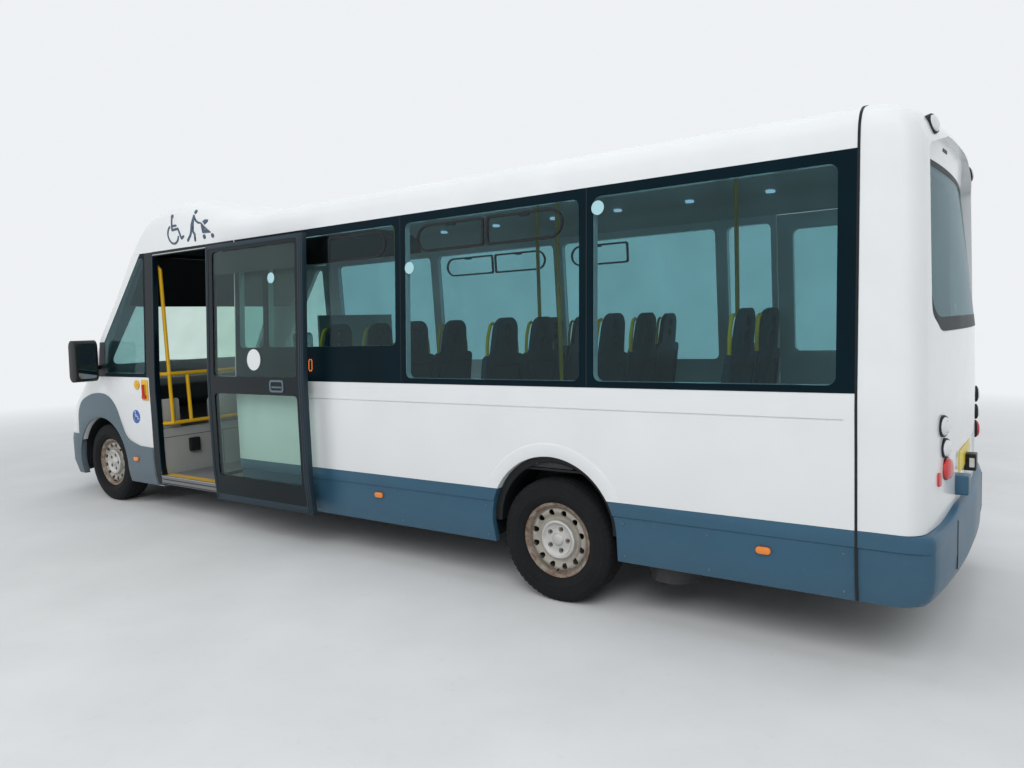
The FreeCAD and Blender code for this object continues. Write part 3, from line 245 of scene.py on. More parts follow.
def lathe(profile, centre, axis, steps=64):
    """Profile of (distance along the axis, radius) points turned about an axis: 'x', 'y' or 'z'."""
    verts = []
    faces = []
    count = len(profile)
    for k in range(steps):
        angle = math.tau * k / steps
        c = math.cos(angle)
        s = math.sin(angle)
        for w, r in profile:
            spots = {"x": (w, r * c, r * s), "y": (r * c, w, r * s), "z": (r * c, r * s, w)}
            verts.append(tuple(Vector(centre) + Vector(spots[axis])))
        after = (k + 1) % steps
        for i in range(count - 1):
            faces.append((k * count + i, after * count + i, after * count + i + 1, k * count + i + 1))
    return verts, faces


def swept(sections, closed=False):
    """Faces through sections of as many points each: capped at both ends, or closed to a ring."""
    count = len(sections[0])
    verts = [point for section in sections for point in section]
    faces = [] if closed else [tuple(range(count)), tuple(reversed(range(len(verts) - count, len(verts))))]
    for k in range(len(sections) if closed else len(sections) - 1):
        after = (k + 1) % len(sections)
        for i in range(count):
            j = (i + 1) % count
            faces.append((k * count + i, k * count + j, after * count + j, after * count + i))
    return verts, faces


def bar_path(corners, bend=0.05, steps=5):
    """A path through corners with round bends."""
    points = [Vector(c) for c in corners]
    path = [tuple(points[0])]
    for before, corner, after in zip(points, points[1:], points[2:]):
        reach = min(bend, (before - corner).length / 2, (after - corner).length / 2)
        start = corner + (before - corner).normalized() * reach
        end = corner + (after - corner).normalized() * reach
        for k in range(steps + 1):
            t = k / steps
            path.append(tuple(start * (1 - t) ** 2 + corner * 2 * t * (1 - t) + end * t * t))
    path.append(tuple(points[-1]))
    return path


# The body's hull as a smooth surface

def secant(column, height, i):
    rise = levels[i + 1][height] - levels[i][height]
    return (levels[i + 1][column] - levels[i][column]) / rise


def slope(column, height, i):
    """Slope of one column of the levels at row i, as a monotone cubic wants it."""
    if i == top_row:
        return secant(column, height, i - 1) * 1.3
    after = secant(column, height, i)
    if i == 0 or i == waist_row:
        return after
    before = secant(column, height, i - 1)
    if i == cantrail_row:
        return before
    return 2 * before * after / (before + after) if before * after > 0 else 0


def column_at(column, height, level):
    """One column of the outline at a level number: straight by the windows, smooth elsewhere."""
    i = min(int(level), top_row - 1)
    t = level - i
    a = levels[i][column]
    b = levels[i + 1][column]
    if i == waist_row or column in (0, 5):
        return a + (b - a) * t
    rise = levels[i + 1][height] - levels[i][height]
    return ((2 * t ** 3 - 3 * t * t + 1) * a + (t ** 3 - 2 * t * t + t) * rise * slope(column, height, i)
            + (3 * t * t - 2 * t ** 3) * b + (t ** 3 - t * t) * rise * slope(column, height, i + 1))


def level_at(z):
    """Level number of a height up to the cantrail."""
    for i in range(cantrail_row):
        if z <= levels[i + 1][0]:
            return i + (z - levels[i][0]) / (levels[i + 1][0] - levels[i][0])
    return cantrail_row


def end_plan(end, way, bow, corner, half, back_x, place):
    """Plan point of a bowed end: place 0 to 1 over the bow, to 2 round the corner, to 3 along the side."""
    edge_x = end + way * bow
    edge_y = half - corner
    radius = (bow * bow + edge_y * edge_y) / (2 * bow)
    if place <= 1:
        angle = place * math.asin(edge_y / radius)
        return end + way * radius * (1 - math.cos(angle)), radius * math.sin(angle)
    if place <= 2:
        t = place - 1
        pull = 0.56 * corner
        points = [(edge_x, edge_y),
                  (edge_x + way * pull * edge_y / radius, edge_y + pull * (radius - bow) / radius),
                  (edge_x + way * (corner - pull), half), (edge_x + way * corner, half)]
        weights = [(1 - t) ** 3, 3 * t * (1 - t) ** 2, 3 * t * t * (1 - t), t ** 3]
        return (sum(w * p[0] for w, p in zip(weights, points)),
                sum(w * p[1] for w, p in zip(weights, points)))
    side_x = edge_x + way * corner
    return side_x + (back_x - side_x) * (place - 2), half


def eased(t):
    t = min(max(t, 0), 1)
    return t * t * (3 - 2 * t)


def lowered(z, inset):
    share = max(0, z - cantrail_z) / (levels[top_row][5] - cantrail_z)
    return z - inset * min(1, share)


def hull_point(level, column, side, inset):
    """Point of the hull moved in by inset. Column: ('nose', place), ('x', station) or ('tail', place)."""
    z_cab, nose, bow, corner, half_cab = [column_at(c, 0, level) for c in range(5)]
    z_saloon, half, tail, tail_bow, tail_corner = [column_at(c, 5, level) for c in range(5, 10)]
    z_cab = lowered(z_cab, inset)
    z_saloon = lowered(z_saloon, inset)
    half_cab -= inset
    half -= inset
    kind, value = column
    if kind == "nose":
        x, y = end_plan(nose + 1.3 * inset, 1, bow, corner, half_cab, dome_top_x, value)
        z = z_cab
    elif kind == "tail":
        x, y = end_plan(tail - inset, -1, tail_bow, tail_corner, half, tail_start_x, value)
        z = z_saloon
    else:
        share = eased((value - dome_top_x) / (dome_end_x - dome_top_x))
        x = value
        y = half_cab + (half - half_cab) * share
        z = z_cab + (z_saloon - z_cab) * share
    return (x, y * side, z)


def thick_grid(rows, columns, outer, inner):
    """A solid skin over a grid of hull spots, between two insets; a row is (level, side)."""
    return slab(rows, columns, lambda row, column, inset: hull_point(row[0], column, row[1], inset), outer,
                inner)


def spread(low, high, count):
    return [low + (high - low) * k / count for k in range(count + 1)]


def side_skin(side, x0, x1, z0, z1, outer, inner, x_steps=6, z_steps=6):
    """Skin of one straight side wall, between stations and heights below the cantrail."""
    rows = [(level_at(z), side) for z in spread(z0, z1, z_steps)]
    return thick_grid(rows, [("x", x) for x in spread(x0, x1, x_steps)], outer, inner)


def nose_skin(z0, z1, outer, inner, back=3.0, z_steps=24):
    """Skin round the nose from side to side, between two heights."""
    places = spread(back, 2, 4)[:-1] + spread(2, 1, 10)[:-1] + spread(1, 0, 10)
    strips = [(place, -1) for place in places] + [(place, 1) for place in reversed(places[:-1])]
    heights = spread(level_at(z0), level_at(z1), z_steps)
    return slab(heights, strips,
                lambda level, strip, inset: hull_point(level, ("nose", strip[0]), strip[1], inset), outer,
                inner)


# Places on the hull, as lifts for outlines; w counts inward from the skin

def level_for(z, column):
    """Level number at which the hull's skin has this height."""
    low = 0.0
    high = float(top_row)
    for _ in range(halvings):
        level = (low + high) / 2
        if hull_point(level, column, 1, 0)[2] < z:
            low = level
        else:
            high = level
    return level


def on_side(side):
    """Side view outline on one side of the body."""
    return lambda u, v, w: hull_point(level_for(v, ("x", u)), ("x", u), side, w)


def on_leaf(u, v, w):
    """Side view outline on the passenger door's leaf, which stands open clear of the wall."""
    return (u, w - column_at(6, 5, level_at(v)) - leaf_stand_off, v)


def tail_station(y, z, inset=0.0):
    """Station of the tail's face at a place across and a height."""
    level = level_for(z, ("tail", 0))
    half, tail_x, bow, corner = [column_at(c, 5, level) for c in (6, 7, 8, 9)]
    radius = (bow * bow + (half - corner) ** 2) / (2 * bow)
    return tail_x - inset - radius + math.sqrt(radius * radius - y * y)


def on_tail(u, v, w):
    """End view outline on the tail's face."""
    return (tail_station(u, v, w), u, v)


def on_recess(u, v, w):
    """End view outline on the sheet behind the rear window, which lies deeper toward the hood."""
    (z0, x0), (z1, x1), (z2, x2) = recess_line
    if v < z1:
        station = x0 + (x1 - x0) * (v - z0) / (z1 - z0)
    else:
        station = x1 + (x2 - x1) * (v - z1) / (z2 - z1)
    return (station - w - tail_station(0, v) + tail_station(u, v), u, v)


# Pieces

# Copies of CAD nodes: distance under which points are one, bend under which faces are one
copy_weld = 0.0002
flat_enough = math.radians(0.4)


def linked(name, data):
    """A new object in the scene."""
    item = bpy.data.objects.new(name, data)
    bpy.context.scene.collection.objects.link(item)
    return item


def solid(name, shape, weld=0.00005, halves=False):
    """An object from a shape, its points welded and its faces turned outward.

    Two halves lose the wall between them.
    """
    mesh = bpy.data.meshes.new(name)
    mesh.from_pydata([tuple(v) for v in shape[0]], [], shape[1])
    piece = linked(name, mesh)
    work = bmesh.new()
    work.from_mesh(mesh)
    bmesh.ops.remove_doubles(work, verts=work.verts, dist=weld)
    bmesh.ops.dissolve_degenerate(work, edges=work.edges, dist=weld / 5)
    if halves:
        walls = [face for face in work.faces if all(abs(v.co.y) < weld for v in face.verts)]
        bmesh.ops.delete(work, geom=walls, context="FACES_ONLY")
    bmesh.ops.recalc_face_normals(work, faces=work.faces)
    work.to_mesh(mesh)
    work.free()
    return piece


def apply_modifiers(piece):
    graph = bpy.context.evaluated_depsgraph_get()
    finished = bpy.data.meshes.new_from_object(piece.evaluated_get(graph))
    piece.modifiers.clear()
    old = piece.data
    piece.data = finished
    finished.name = piece.name
    bpy.data.meshes.remove(old)


def carved(piece, tool, operation="DIFFERENCE"):
    """Cuts a piece by an object or by shapes that don't touch each other, or keeps or adds what they hold."""
    if isinstance(tool, list):
        tool = solid("tool", joined(tool))
    cut = piece.modifiers.new("cut", "BOOLEAN")
    cut.operation = operation
    cut.solver = "EXACT"
    cut.object = tool
    bpy.context.view_layer.update()
    apply_modifiers(piece)
    bpy.data.objects.remove(tool)
    return piece


def softened(piece, width, segments, least_angle):
    """Rounds the edges that bend by more than the least angle, in degrees."""
    edge = piece.modifiers.new("edge", "BEVEL")
    edge.width = width
    edge.segments = segments
    edge.limit_method = "ANGLE"
    edge.angle_limit = math.radians(least_angle)
    bpy.context.view_layer.update()
    apply_modifiers(piece)


def dressed(piece, look, body="body", slot=None, stands_for=(), raked=True, sharp=32, bevel=0.0):
    """Finishes a piece: pitch, edges, material, the body it rides on and the CAD nodes it stands for."""
    if raked:
        piece.data.transform(to_ground)
    if bevel:
        softened(piece, bevel, 2, 40)
    piece.data.shade_smooth()
    piece.data.set_sharp_from_angle(angle=math.radians(sharp))
    piece.data.materials.clear()
    piece.data.materials.append(look)
    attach(piece, body)
    if stands_for:
        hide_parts(*stands_for)
    return piece


def smooth_copy(node, look, name, body="body", slot=None, bevel=0.0, sharp=30):
    """A CAD node's own form with welded points and smooth or rounded edges, standing for the node."""
    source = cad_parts[node]
    piece = linked(name, source.data.copy())
    piece.data.name = name
    work = bmesh.new()
    work.from_mesh(piece.data)
    bmesh.ops.remove_doubles(work, verts=work.verts, dist=copy_weld)
    bmesh.ops.dissolve_limit(work, angle_limit=flat_enough, verts=work.verts, edges=work.edges)
    work.to_mesh(piece.data)
    work.free()
    if "custom_normal" in piece.data.attributes:
        piece.data.attributes.remove(piece.data.attributes["custom_normal"])
    return dressed(piece, look, body, slot, (node,), raked=False, sharp=sharp, bevel=bevel)


def made(name, shape, look, *finish, **more):
    """A piece from a shape, finished."""
    return dressed(solid(name, shape), look, *finish, **more)


def trimmed(piece, outline, lift, low, high, operation="DIFFERENCE"):
    """A piece cut by one outline run between two depths, or what it holds."""
    return carved(piece, [prism(outline, lift, low, high)], operation)


def placed(piece, matrix, look, body="body", slot=None, stands_for=(), sharp=32):
    """Finishes a piece that is drawn about its own origin and then put in place."""
    piece.matrix_world = matrix
    return dressed(piece, look, body, slot, stands_for, raked=False, sharp=sharp)


def twin(piece, name, matrix, body="body"):
    """One more copy of a finished piece, on the same mesh."""
    other = linked(name, piece.data)
    other.matrix_world = matrix
    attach(other, body)
    return other


# Materials

def nodes_of(look):
    look.use_nodes = True
    return look.node_tree.nodes, look.node_tree.links


def noise(nodes, links, place, scale, detail=5.0, roughness=0.55):
    texture = nodes.new("ShaderNodeTexNoise")
    texture.inputs["Scale"].default_value = scale
    texture.inputs["Detail"].default_value = detail
    texture.inputs["Roughness"].default_value = roughness
    links.new(place, texture.inputs["Vector"])
    return texture.outputs["Fac"]


def ranged(nodes, links, value, from_low, from_high, low, high):
    step = nodes.new("ShaderNodeMapRange")
    step.clamp = True
    step.inputs["From Min"].default_value = from_low
    step.inputs["From Max"].default_value = from_high
    step.inputs["To Min"].default_value = low
    step.inputs["To Max"].default_value = high
    links.new(value, step.inputs["Value"])
    return step.outputs["Result"]


def mixed(nodes, links, share, first, second):
    """Colour between two; each is a socket or a colour."""
    mix = nodes.new("ShaderNodeMix")
    mix.data_type = "RGBA"
    links.new(share, mix.inputs["Factor"])
    for socket, colour in ((mix.inputs["A"], first), (mix.inputs["B"], second)):
        if isinstance(colour, bpy.types.NodeSocket):
            links.new(colour, socket)
        else:
            socket.default_value = (*colour, 1.0)
    return mix.outputs["Result"]


def product(nodes, links, first, second):
    step = nodes.new("ShaderNodeMath")
    step.operation = "MULTIPLY"
    for socket, value in zip(step.inputs, (first, second)):
        if isinstance(value, bpy.types.NodeSocket):
            links.new(value, socket)
        else:
            socket.default_value = value
    return step.outputs["Value"]


def surface(name, colour, rough, metal=0.0, vary=0.08, patch=3.0, grain=400.0, bump=0.05, coat=0.0,
            dirt=None, dirt_top=0.6, dirt_bottom=0.25, dirt_share=0.6, wear=None, wear_share=0.2, facets=0.0,
            glow=0.0, shine=0.5):
    """A worked surface: patches of tone, fine grain, dirt that gathers low down and worn spots."""
    look = bpy.data.materials.new(name)
    nodes, links = nodes_of(look)
    shader = nodes["Principled BSDF"]
    place = nodes.new("ShaderNodeTexCoord").outputs["Object"]
    tone = noise(nodes, links, place, patch)
    dark = tuple(c * (1 - vary) for c in colour)
    light = tuple(min(1, c * (1 + vary * 0.5)) for c in colour)
    base = mixed(nodes, links, ranged(nodes, links, tone, 0.3, 0.7, 0, 1), dark, light)
    fine = noise(nodes, links, place, grain, 3.0)
    if wear:
        spots = ranged(nodes, links, noise(nodes, links, place, patch * 9, 8.0, 0.7), 0.58, 0.68, 0,
                       wear_share)
        base = mixed(nodes, links, spots, base, wear)
    if dirt:
        height = nodes.new("ShaderNodeSeparateXYZ")
        links.new(place, height.inputs["Vector"])
        low = ranged(nodes, links, height.outputs["Z"], dirt_bottom, dirt_top, dirt_share, 0)
        cloud = ranged(nodes, links, noise(nodes, links, place, 6.0, 8.0, 0.7), 0.35, 0.65, 0.25, 1)
        base = mixed(nodes, links, product(nodes, links, low, cloud), base, dirt)
    links.new(base, shader.inputs["Base Color"])
    links.new(ranged(nodes, links, tone, 0.25, 0.75, rough * 0.85, min(1, rough * 1.15)),
              shader.inputs["Roughness"])
    shader.inputs["Metallic"].default_value = metal
    shader.inputs["Specular IOR Level"].default_value = shine
    shader.inputs["Coat Weight"].default_value = coat
    shader.inputs["Coat Roughness"].default_value = 0.08
    if glow:
        shader.inputs["Emission Color"].default_value = (*colour, 1.0)
        shader.inputs["Emission Strength"].default_value = glow
    relief = nodes.new("ShaderNodeBump")
    relief.inputs["Strength"].default_value = bump
    relief.inputs["Distance"].default_value = 0.001
    links.new(fine, relief.inputs["Height"])
    if facets:
        prisms = nodes.new("ShaderNodeTexVoronoi")
        prisms.inputs["Scale"].default_value = facets
        prisms.inputs["Randomness"].default_value = 0.0
        links.new(place, prisms.inputs["Vector"])
        lens = nodes.new("ShaderNodeBump")
        lens.inputs["Strength"].default_value = 0.6
        lens.inputs["Distance"].default_value = 0.003
        links.new(prisms.outputs["Distance"], lens.inputs["Height"])
        links.new(lens.outputs["Normal"], relief.inputs["Normal"])
    links.new(relief.outputs["Normal"], shader.inputs["Normal"])
    return look


def glass(name, tint, haze=0.0, haze_colour=(0.5, 0.52, 0.5)):
    """Thin glass: tinted see-through with a clear reflection, and a little road film."""
    look = bpy.data.materials.new(name)
    nodes, links = nodes_of(look)
    nodes.remove(nodes["Principled BSDF"])
    place = nodes.new("ShaderNodeTexCoord").outputs["Object"]
    film = noise(nodes, links, place, 2.5, 6.0)
    through = nodes.new("ShaderNodeBsdfTransparent")
    links.new(mixed(nodes, links, ranged(nodes, links, film, 0.3, 0.7, 0, 1),
                    tuple(c * 0.94 for c in tint), tint), through.inputs["Color"])
    shine = nodes.new("ShaderNodeBsdfGlossy")
    shine.inputs["Color"].default_value = (0.42, 0.50, 0.53, 1.0)
    links.new(ranged(nodes, links, film, 0.3, 0.7, 0.0, 0.04), shine.inputs["Roughness"])
    fresnel = nodes.new("ShaderNodeFresnel")
    back = nodes.new("ShaderNodeNewGeometry").outputs["Backfacing"]
    links.new(ranged(nodes, links, back, 0, 1, 1.45, 1 / 1.45), fresnel.inputs["IOR"])
    glossy = nodes.new("ShaderNodeMixShader")
    links.new(fresnel.outputs["Fac"], glossy.inputs["Fac"])
    links.new(through.outputs["BSDF"], glossy.inputs[1])
    links.new(shine.outputs["BSDF"], glossy.inputs[2])
    dust = nodes.new("ShaderNodeBsdfDiffuse")
    dust.inputs["Color"].default_value = (*haze_colour, 1.0)
    veil = nodes.new("ShaderNodeMixShader")
    links.new(ranged(nodes, links, film, 0.3, 0.8, haze * 0.4, haze), veil.inputs["Fac"])
    links.new(glossy.outputs["Shader"], veil.inputs[1])
    links.new(dust.outputs["BSDF"], veil.inputs[2])
    links.new(veil.outputs["Shader"], nodes["Material Output"].inputs["Surface"])
    return look


white_paint = surface("white_paint", (0.80, 0.82, 0.83), 0.22, vary=0.03, coat=0.4, bump=0.01, grain=60,
                      dirt=(0.45, 0.42, 0.37), dirt_top=1.0, dirt_bottom=0.4, dirt_share=0.16)
skirt_paint = surface("skirt_paint", (0.034, 0.104, 0.168), 0.38, shine=0.4, vary=0.08, patch=2.0,
                      bump=0.03, grain=300, dirt=(0.16, 0.19, 0.20), dirt_top=0.50, dirt_bottom=0.10,
                      dirt_share=0.22, wear=(0.12, 0.20, 0.27), wear_share=0.10)
grey_plastic = surface("grey_plastic", (0.105, 0.150, 0.180), 0.5, vary=0.10, bump=0.12, grain=700,
                       dirt=(0.20, 0.20, 0.19), dirt_share=0.2)
dark_plastic = surface("dark_plastic", (0.014, 0.016, 0.018), 0.45, shine=0.25, vary=0.25, bump=0.2,
                       grain=900)
black_print = surface("black_print", (0.003, 0.012, 0.018), 0.4, shine=0.06, vary=0.2, bump=0.004, grain=80)
# Mirror glass: metal far darker than a real mirror's silver, a painted reflection of dark surroundings
mirror_painted_dark_reflection = surface("mirror_painted_dark_reflection", (0.16, 0.20, 0.22), 0.06, metal=1.0, vary=0.08, bump=0.004,
                        grain=60)
black_gloss = surface("black_gloss", (0.003, 0.009, 0.013), 0.08, shine=0.22, vary=0.2, bump=0.004, grain=80)
rubber = surface("rubber", (0.018, 0.020, 0.022), 0.62, shine=0.25, vary=0.2, bump=0.1, grain=900)
grey_rubber = surface("grey_rubber", (0.018, 0.034, 0.048), 0.5, shine=0.3, vary=0.12, bump=0.1, grain=600)
clear_glass = glass("clear_glass", (0.86, 0.95, 0.91), 0.02)
tinted_glass = glass("tinted_glass", (0.62, 0.78, 0.80), 0.006)
lamp_glass = glass("lamp_glass", (0.93, 0.95, 0.96), 0.05, (0.8, 0.8, 0.8))
lamp_red = surface("lamp_red", (0.55, 0.012, 0.014), 0.12, vary=0.15, coat=0.8, bump=0.05, facets=110)
lamp_amber = surface("lamp_amber", (0.90, 0.25, 0.01), 0.15, vary=0.12, coat=0.8, bump=0.05, facets=150)
lamp_clear = surface("lamp_clear", (0.72, 0.74, 0.76), 0.10, metal=0.35, vary=0.12, coat=0.8, bump=0.05,
                     facets=110)
floor_vinyl = surface("floor_vinyl", (0.20, 0.205, 0.21), 0.6, vary=0.15, bump=0.15, grain=900,
                      wear=(0.32, 0.32, 0.31), wear_share=0.3)
frame_steel = surface("frame_steel", (0.03, 0.03, 0.032), 0.6, vary=0.3, bump=0.3, grain=300,
                      wear=(0.16, 0.08, 0.04), wear_share=0.5)
axle_iron = surface("axle_iron", (0.10, 0.08, 0.07), 0.7, metal=0.5, vary=0.3, bump=0.4, grain=200,
                    wear=(0.20, 0.09, 0.04), wear_share=0.7)
engine_iron = surface("engine_iron", (0.10, 0.10, 0.10), 0.6, metal=0.6, vary=0.3, bump=0.4, grain=150)
wheel_steel = surface("wheel_steel", (0.42, 0.39, 0.34), 0.45, metal=0.55, vary=0.2, patch=12, bump=0.3,
                      grain=350, wear=(0.17, 0.10, 0.06), wear_share=0.75)
tyre_rubber = surface("tyre_rubber", (0.014, 0.015, 0.016), 0.75, shine=0.15, vary=0.3, patch=8, bump=0.35,
                      grain=500, wear=(0.055, 0.052, 0.048), wear_share=0.35)
seat_fabric = surface("seat_fabric", (0.030, 0.055, 0.085), 0.85, vary=0.3, patch=60, bump=0.9, grain=1400)
seat_plastic = surface("seat_plastic", (0.016, 0.034, 0.044), 0.5, shine=0.3, vary=0.15, bump=0.15,
                       grain=700)
rail_yellow = surface("rail_yellow", (0.80, 0.45, 0.002), 0.35, vary=0.08, bump=0.05, grain=300, coat=0.3,
                      wear=(0.50, 0.26, 0.005), wear_share=0.2)
plate_yellow = surface("plate_yellow", (0.80, 0.62, 0.03), 0.35, vary=0.06, bump=0.03, grain=200)
sticker_white = surface("sticker_white", (0.78, 0.80, 0.80), 0.4, vary=0.04, bump=0.02, grain=200)
sticker_blue = surface("sticker_blue", (0.010, 0.10, 0.42), 0.35, vary=0.06, bump=0.02, grain=200)
sticker_red = surface("sticker_red", (0.62, 0.03, 0.02), 0.35, vary=0.06, bump=0.02, grain=200)
pale_disc = surface("pale_disc", (0.42, 0.68, 0.72), 0.4, vary=0.05, bump=0.02, grain=200)
sign_grey = surface("sign_grey", (0.050, 0.080, 0.125), 0.5, vary=0.1, bump=0.02, grain=200)
dot_orange = surface("dot_orange", (1.0, 0.22, 0.02), 0.4, vary=0.1, bump=0.02, grain=200, glow=1.2)
cabin_light = surface("cabin_light", (0.55, 0.75, 0.95), 0.3, vary=0.05, bump=0.02, grain=200, glow=0.8)
hub_silver = surface("hub_silver", (0.62, 0.61, 0.58), 0.32, metal=0.75, vary=0.12, patch=15, bump=0.15,
                     grain=350, wear=(0.25, 0.17, 0.11), wear_share=0.35)
liner_plastic = surface("liner_plastic", (0.55, 0.56, 0.55), 0.55, vary=0.06, bump=0.1, grain=500)
panel_grey = surface("panel_grey", (0.36, 0.37, 0.35), 0.5, vary=0.08, bump=0.1, grain=500,
                     wear=(0.2, 0.19, 0.17), wear_share=0.2)
aluminium = surface("aluminium", (0.60, 0.60, 0.60), 0.3, metal=0.9, vary=0.12, bump=0.1, grain=500)


# Outlines of the openings

def arch_outline(centre_x, centre_z, radius, foot_half, bottom_z, steps=40):
    points = [(centre_x - foot_half, bottom_z)]
    for k in range(steps + 1):
        angle = math.pi - math.pi * k / steps
        points.append((centre_x + radius * math.cos(angle), centre_z + radius * math.sin(angle)))
    points.append((centre_x + foot_half, bottom_z))
    return points


front_arch = arch_outline(front_wheel_x - 0.030, front_wheel_z, 0.430, 0.430, 0.1)
rear_arch = arch_outline(wheel_base, rear_arch_z, rear_arch_radius, 0.400, 0.1)
opening_bottom_z = 1.290
opening_top_z = 2.275
left_blank_top_z = 1.500
# Columns: first and last station of each bonded pane, then of the clear openings behind it
left_panes = [
    (2.080, 3.817, [(2.135, 2.420), (2.485, 3.775)]),
    (3.823, 5.187, [(3.865, 5.145)]),
    (5.193, 6.549, [(5.235, 6.470)]),
]
right_panes = [
    (0.960, 2.347, [(1.005, 2.305)]),
    (2.353, 3.747, [(2.395, 3.705)]),
    (3.753, 5.187, [(3.795, 5.145)]),
    (5.193, 5.597, [(5.235, 5.560)]),
]
exit_door = (5.606, 6.246, 0.650, 2.330)
panel_gap = 0.006
# Planes that cuts run to: inside and outside a side wall, ahead of the nose, behind the dome's face,
# ahead of the rear wall and behind the tail
inside_wall_y = 0.800
beyond_wall_y = 1.300
ahead_x = -1.200
behind_dome_face_x = dome_top_x - 0.300
inside_tail_x = 6.500
behind_tail_x = 7.200
# Groove pressed into the left wall under the waist
wall_groove = window(2.90, 6.50, 1.131, 1.139, 0.004)
groove_depth = 0.004
# Opening of the destination display in the dome's face
display_opening = window(-0.640, 0.640, 2.380, 2.600, 0.040)
driver_door_outline = [(0, 0.700, 0.100), (0.830, 0.700, 0.060), (0.830, 2.310, 0.040),
                       (0.652, 2.310, 0.020), (0, 1.440, 0.060)]


def side_range(side):
    """Reach across one side wall."""
    return (-beyond_wall_y, -inside_wall_y) if side < 0 else (inside_wall_y, beyond_wall_y)


def clear_openings(side, panes):
    tools = []
    for first, _, openings in panes:
        for a, b in openings:
            bottom = left_blank_top_z if side < 0 and first < 3.0 else opening_bottom_z
            tools.append(prism(window(a, b, bottom, opening_top_z, 0.040), across, *side_range(side)))
    return tools


# Saloon: walls, black borders of the glass, skirts

def saloon_sides():
    for side, name, first_x, panes in ((-1, "left", door_rear_x + 0.020, left_panes),
                                       (1, "right", cab_end_x + 0.100, right_panes)):
        panel = solid(f"saloon_wall_{name}", side_skin(side, first_x, tail_joint_x - 0.001, skirt_top_z,
                                                       cantrail_z, 0, wall, x_steps=8, z_steps=10))
        tools = clear_openings(side, panes)
        tools.append(prism(rear_arch, across, *side_range(side)))
        if side < 0:
            tools.append(prism(wall_groove, across, -beyond_wall_y, groove_depth - half_width))
        else:
            x0, x1, z0, z1 = exit_door
            tools.append(block(x0 - panel_gap, x1 + panel_gap, *side_range(side), z0 - panel_gap, z1 + 0.1))
        carved(panel, tools)
        for first, last, _ in panes:
            seat = side_skin(side, first - 0.002, last + 0.002, waist_z, cantrail_z - 0.0005, -0.02,
                             glass_thickness, x_steps=2, z_steps=2)
            carved(panel, [seat])
        dressed(panel, white_paint, slot="white_paint", stands_for=(f"side_{name}",))


def frit(side, name, panes):
    """Black printed border, a hair proud of each bonded pane."""
    shapes = []
    for first, last, _ in panes:
        shapes.append(side_skin(side, first, last, waist_z + 0.001, cantrail_z - 0.001, -0.0008, -0.0002,
                                x_steps=2, z_steps=2))
    piece = solid(f"glass_border_{name}", joined(shapes))
    carved(piece, clear_openings(side, panes))
    dressed(piece, black_print, slot="tinted_glass")
    joints = [slab([last - 0.0005, last + 0.0065], spread(waist_z + 0.001, cantrail_z - 0.001, 4),
                   on_side(side), -0.0005, 0.004) for _, last, _ in panes[:-1]]
    made(f"pane_joints_{name}", joined(joints), rubber)


def long_skirts():
    """Blue-grey mouldings under the saloon, with a crease and a flat band along the top."""
    section = [
        (0.0, skirt_top_z - 0.001), (0.0, skirt_crease_z + 0.004), (0.009, skirt_crease_z - 0.002),
        (0.010, 0.430), (0.031, skirt_bottom_z + 0.004), (0.036, skirt_bottom_z), (0.072, skirt_bottom_z),
        (0.072, skirt_bottom_z + 0.003), (0.050, 0.430), (0.045, skirt_top_z - 0.001)]
    for side, name, first_x in ((-1, "left", door_rear_x + 0.020), (1, "right", cab_end_x + 0.006)):
        outline = [((half_width - inset) * side, z) for inset, z in section]
        skirt = solid(f"long_skirt_{name}", prism(outline, along, first_x, tail_joint_x - 0.004))
        trimmed(skirt, rear_arch, across, *side_range(side))
        dressed(skirt, skirt_paint, slot="skirt_paint", bevel=0.003, stands_for=("skirts",))


front_lip_outline = rounded([
    (-0.460, 0.700, 0), (-0.440, 1.000, 0.22), (-0.120, 1.110, 0.70), (0.200, 1.085, 0.30),
    (0.400, 0.700, 0.20), (0.620, 0.645, 0.12), (0.830, 0.639, 0), (0.830, 0.305, 0),
    (-0.460, 0.305, 0)], 10)


def front_lips():
    """Grey mouldings round the front arches, with the piece of skirt between each arch and the entrance."""
    for side, name in sides:
        lip = solid(f"front_arch_lip_{name}", nose_skin(0.306, 1.200, -0.007, 0.004))
        trimmed(lip, front_lip_outline, across, *side_range(side), "INTERSECT")
        skirt = side_skin(side, 0.380, cab_end_x - 0.001, 0.307, skirt_top_z - 0.002, -0.004, wall)
        carved(lip, [skirt], "UNION")
        trimmed(lip, front_arch, across, *side_range(side))
        if side > 0:
            gap = [(x + (x - 0.4) * 0.015, z - 0.006 if z < 1 else z, radius)
                   for x, z, radius in driver_door_outline]
            trimmed(lip, rounded(gap), across, *side_range(1))
            carved(lip, [block(-0.053, 0.042, *side_range(1), 0.812, 1.268)])
            strip = solid("front_arch_strip_right", nose_skin(0.600, 1.200, -0.0015, 0.003))
            trimmed(strip, front_lip_outline, across, *side_range(1), "INTERSECT")
            carved(strip, [block(-0.060, 0.050, *side_range(1), 0.5, 1.3)], "INTERSECT")
            trimmed(strip, front_arch, across, *side_range(1))
            trimmed(strip, rounded(gap), across, *side_range(1))
            dressed(strip, grey_plastic, slot="grey_plastic")
        dressed(lip, grey_plastic, slot="grey_plastic", bevel=0.002)


def rear_liners():
    """Black liner over each rear tyre, from the wall's edge in to the wheel box."""
    profile = [(1.042, rear_arch_radius + 0.004), (1.042, 0.384), (1.034, 0.374), (0.745, 0.374),
               (0.745, 0.378), (1.030, 0.378), (1.034, 0.386), (1.034, rear_arch_radius + 0.004)]
    for side, name in sides:
        sections = [[(wheel_base + radius * math.cos(turn), side * y, rear_arch_z + radius * math.sin(turn))
                     for y, radius in profile] for turn in spread(0, math.pi, 48)]
        made(f"rear_arch_liner_{name}", swept(sections), dark_plastic)


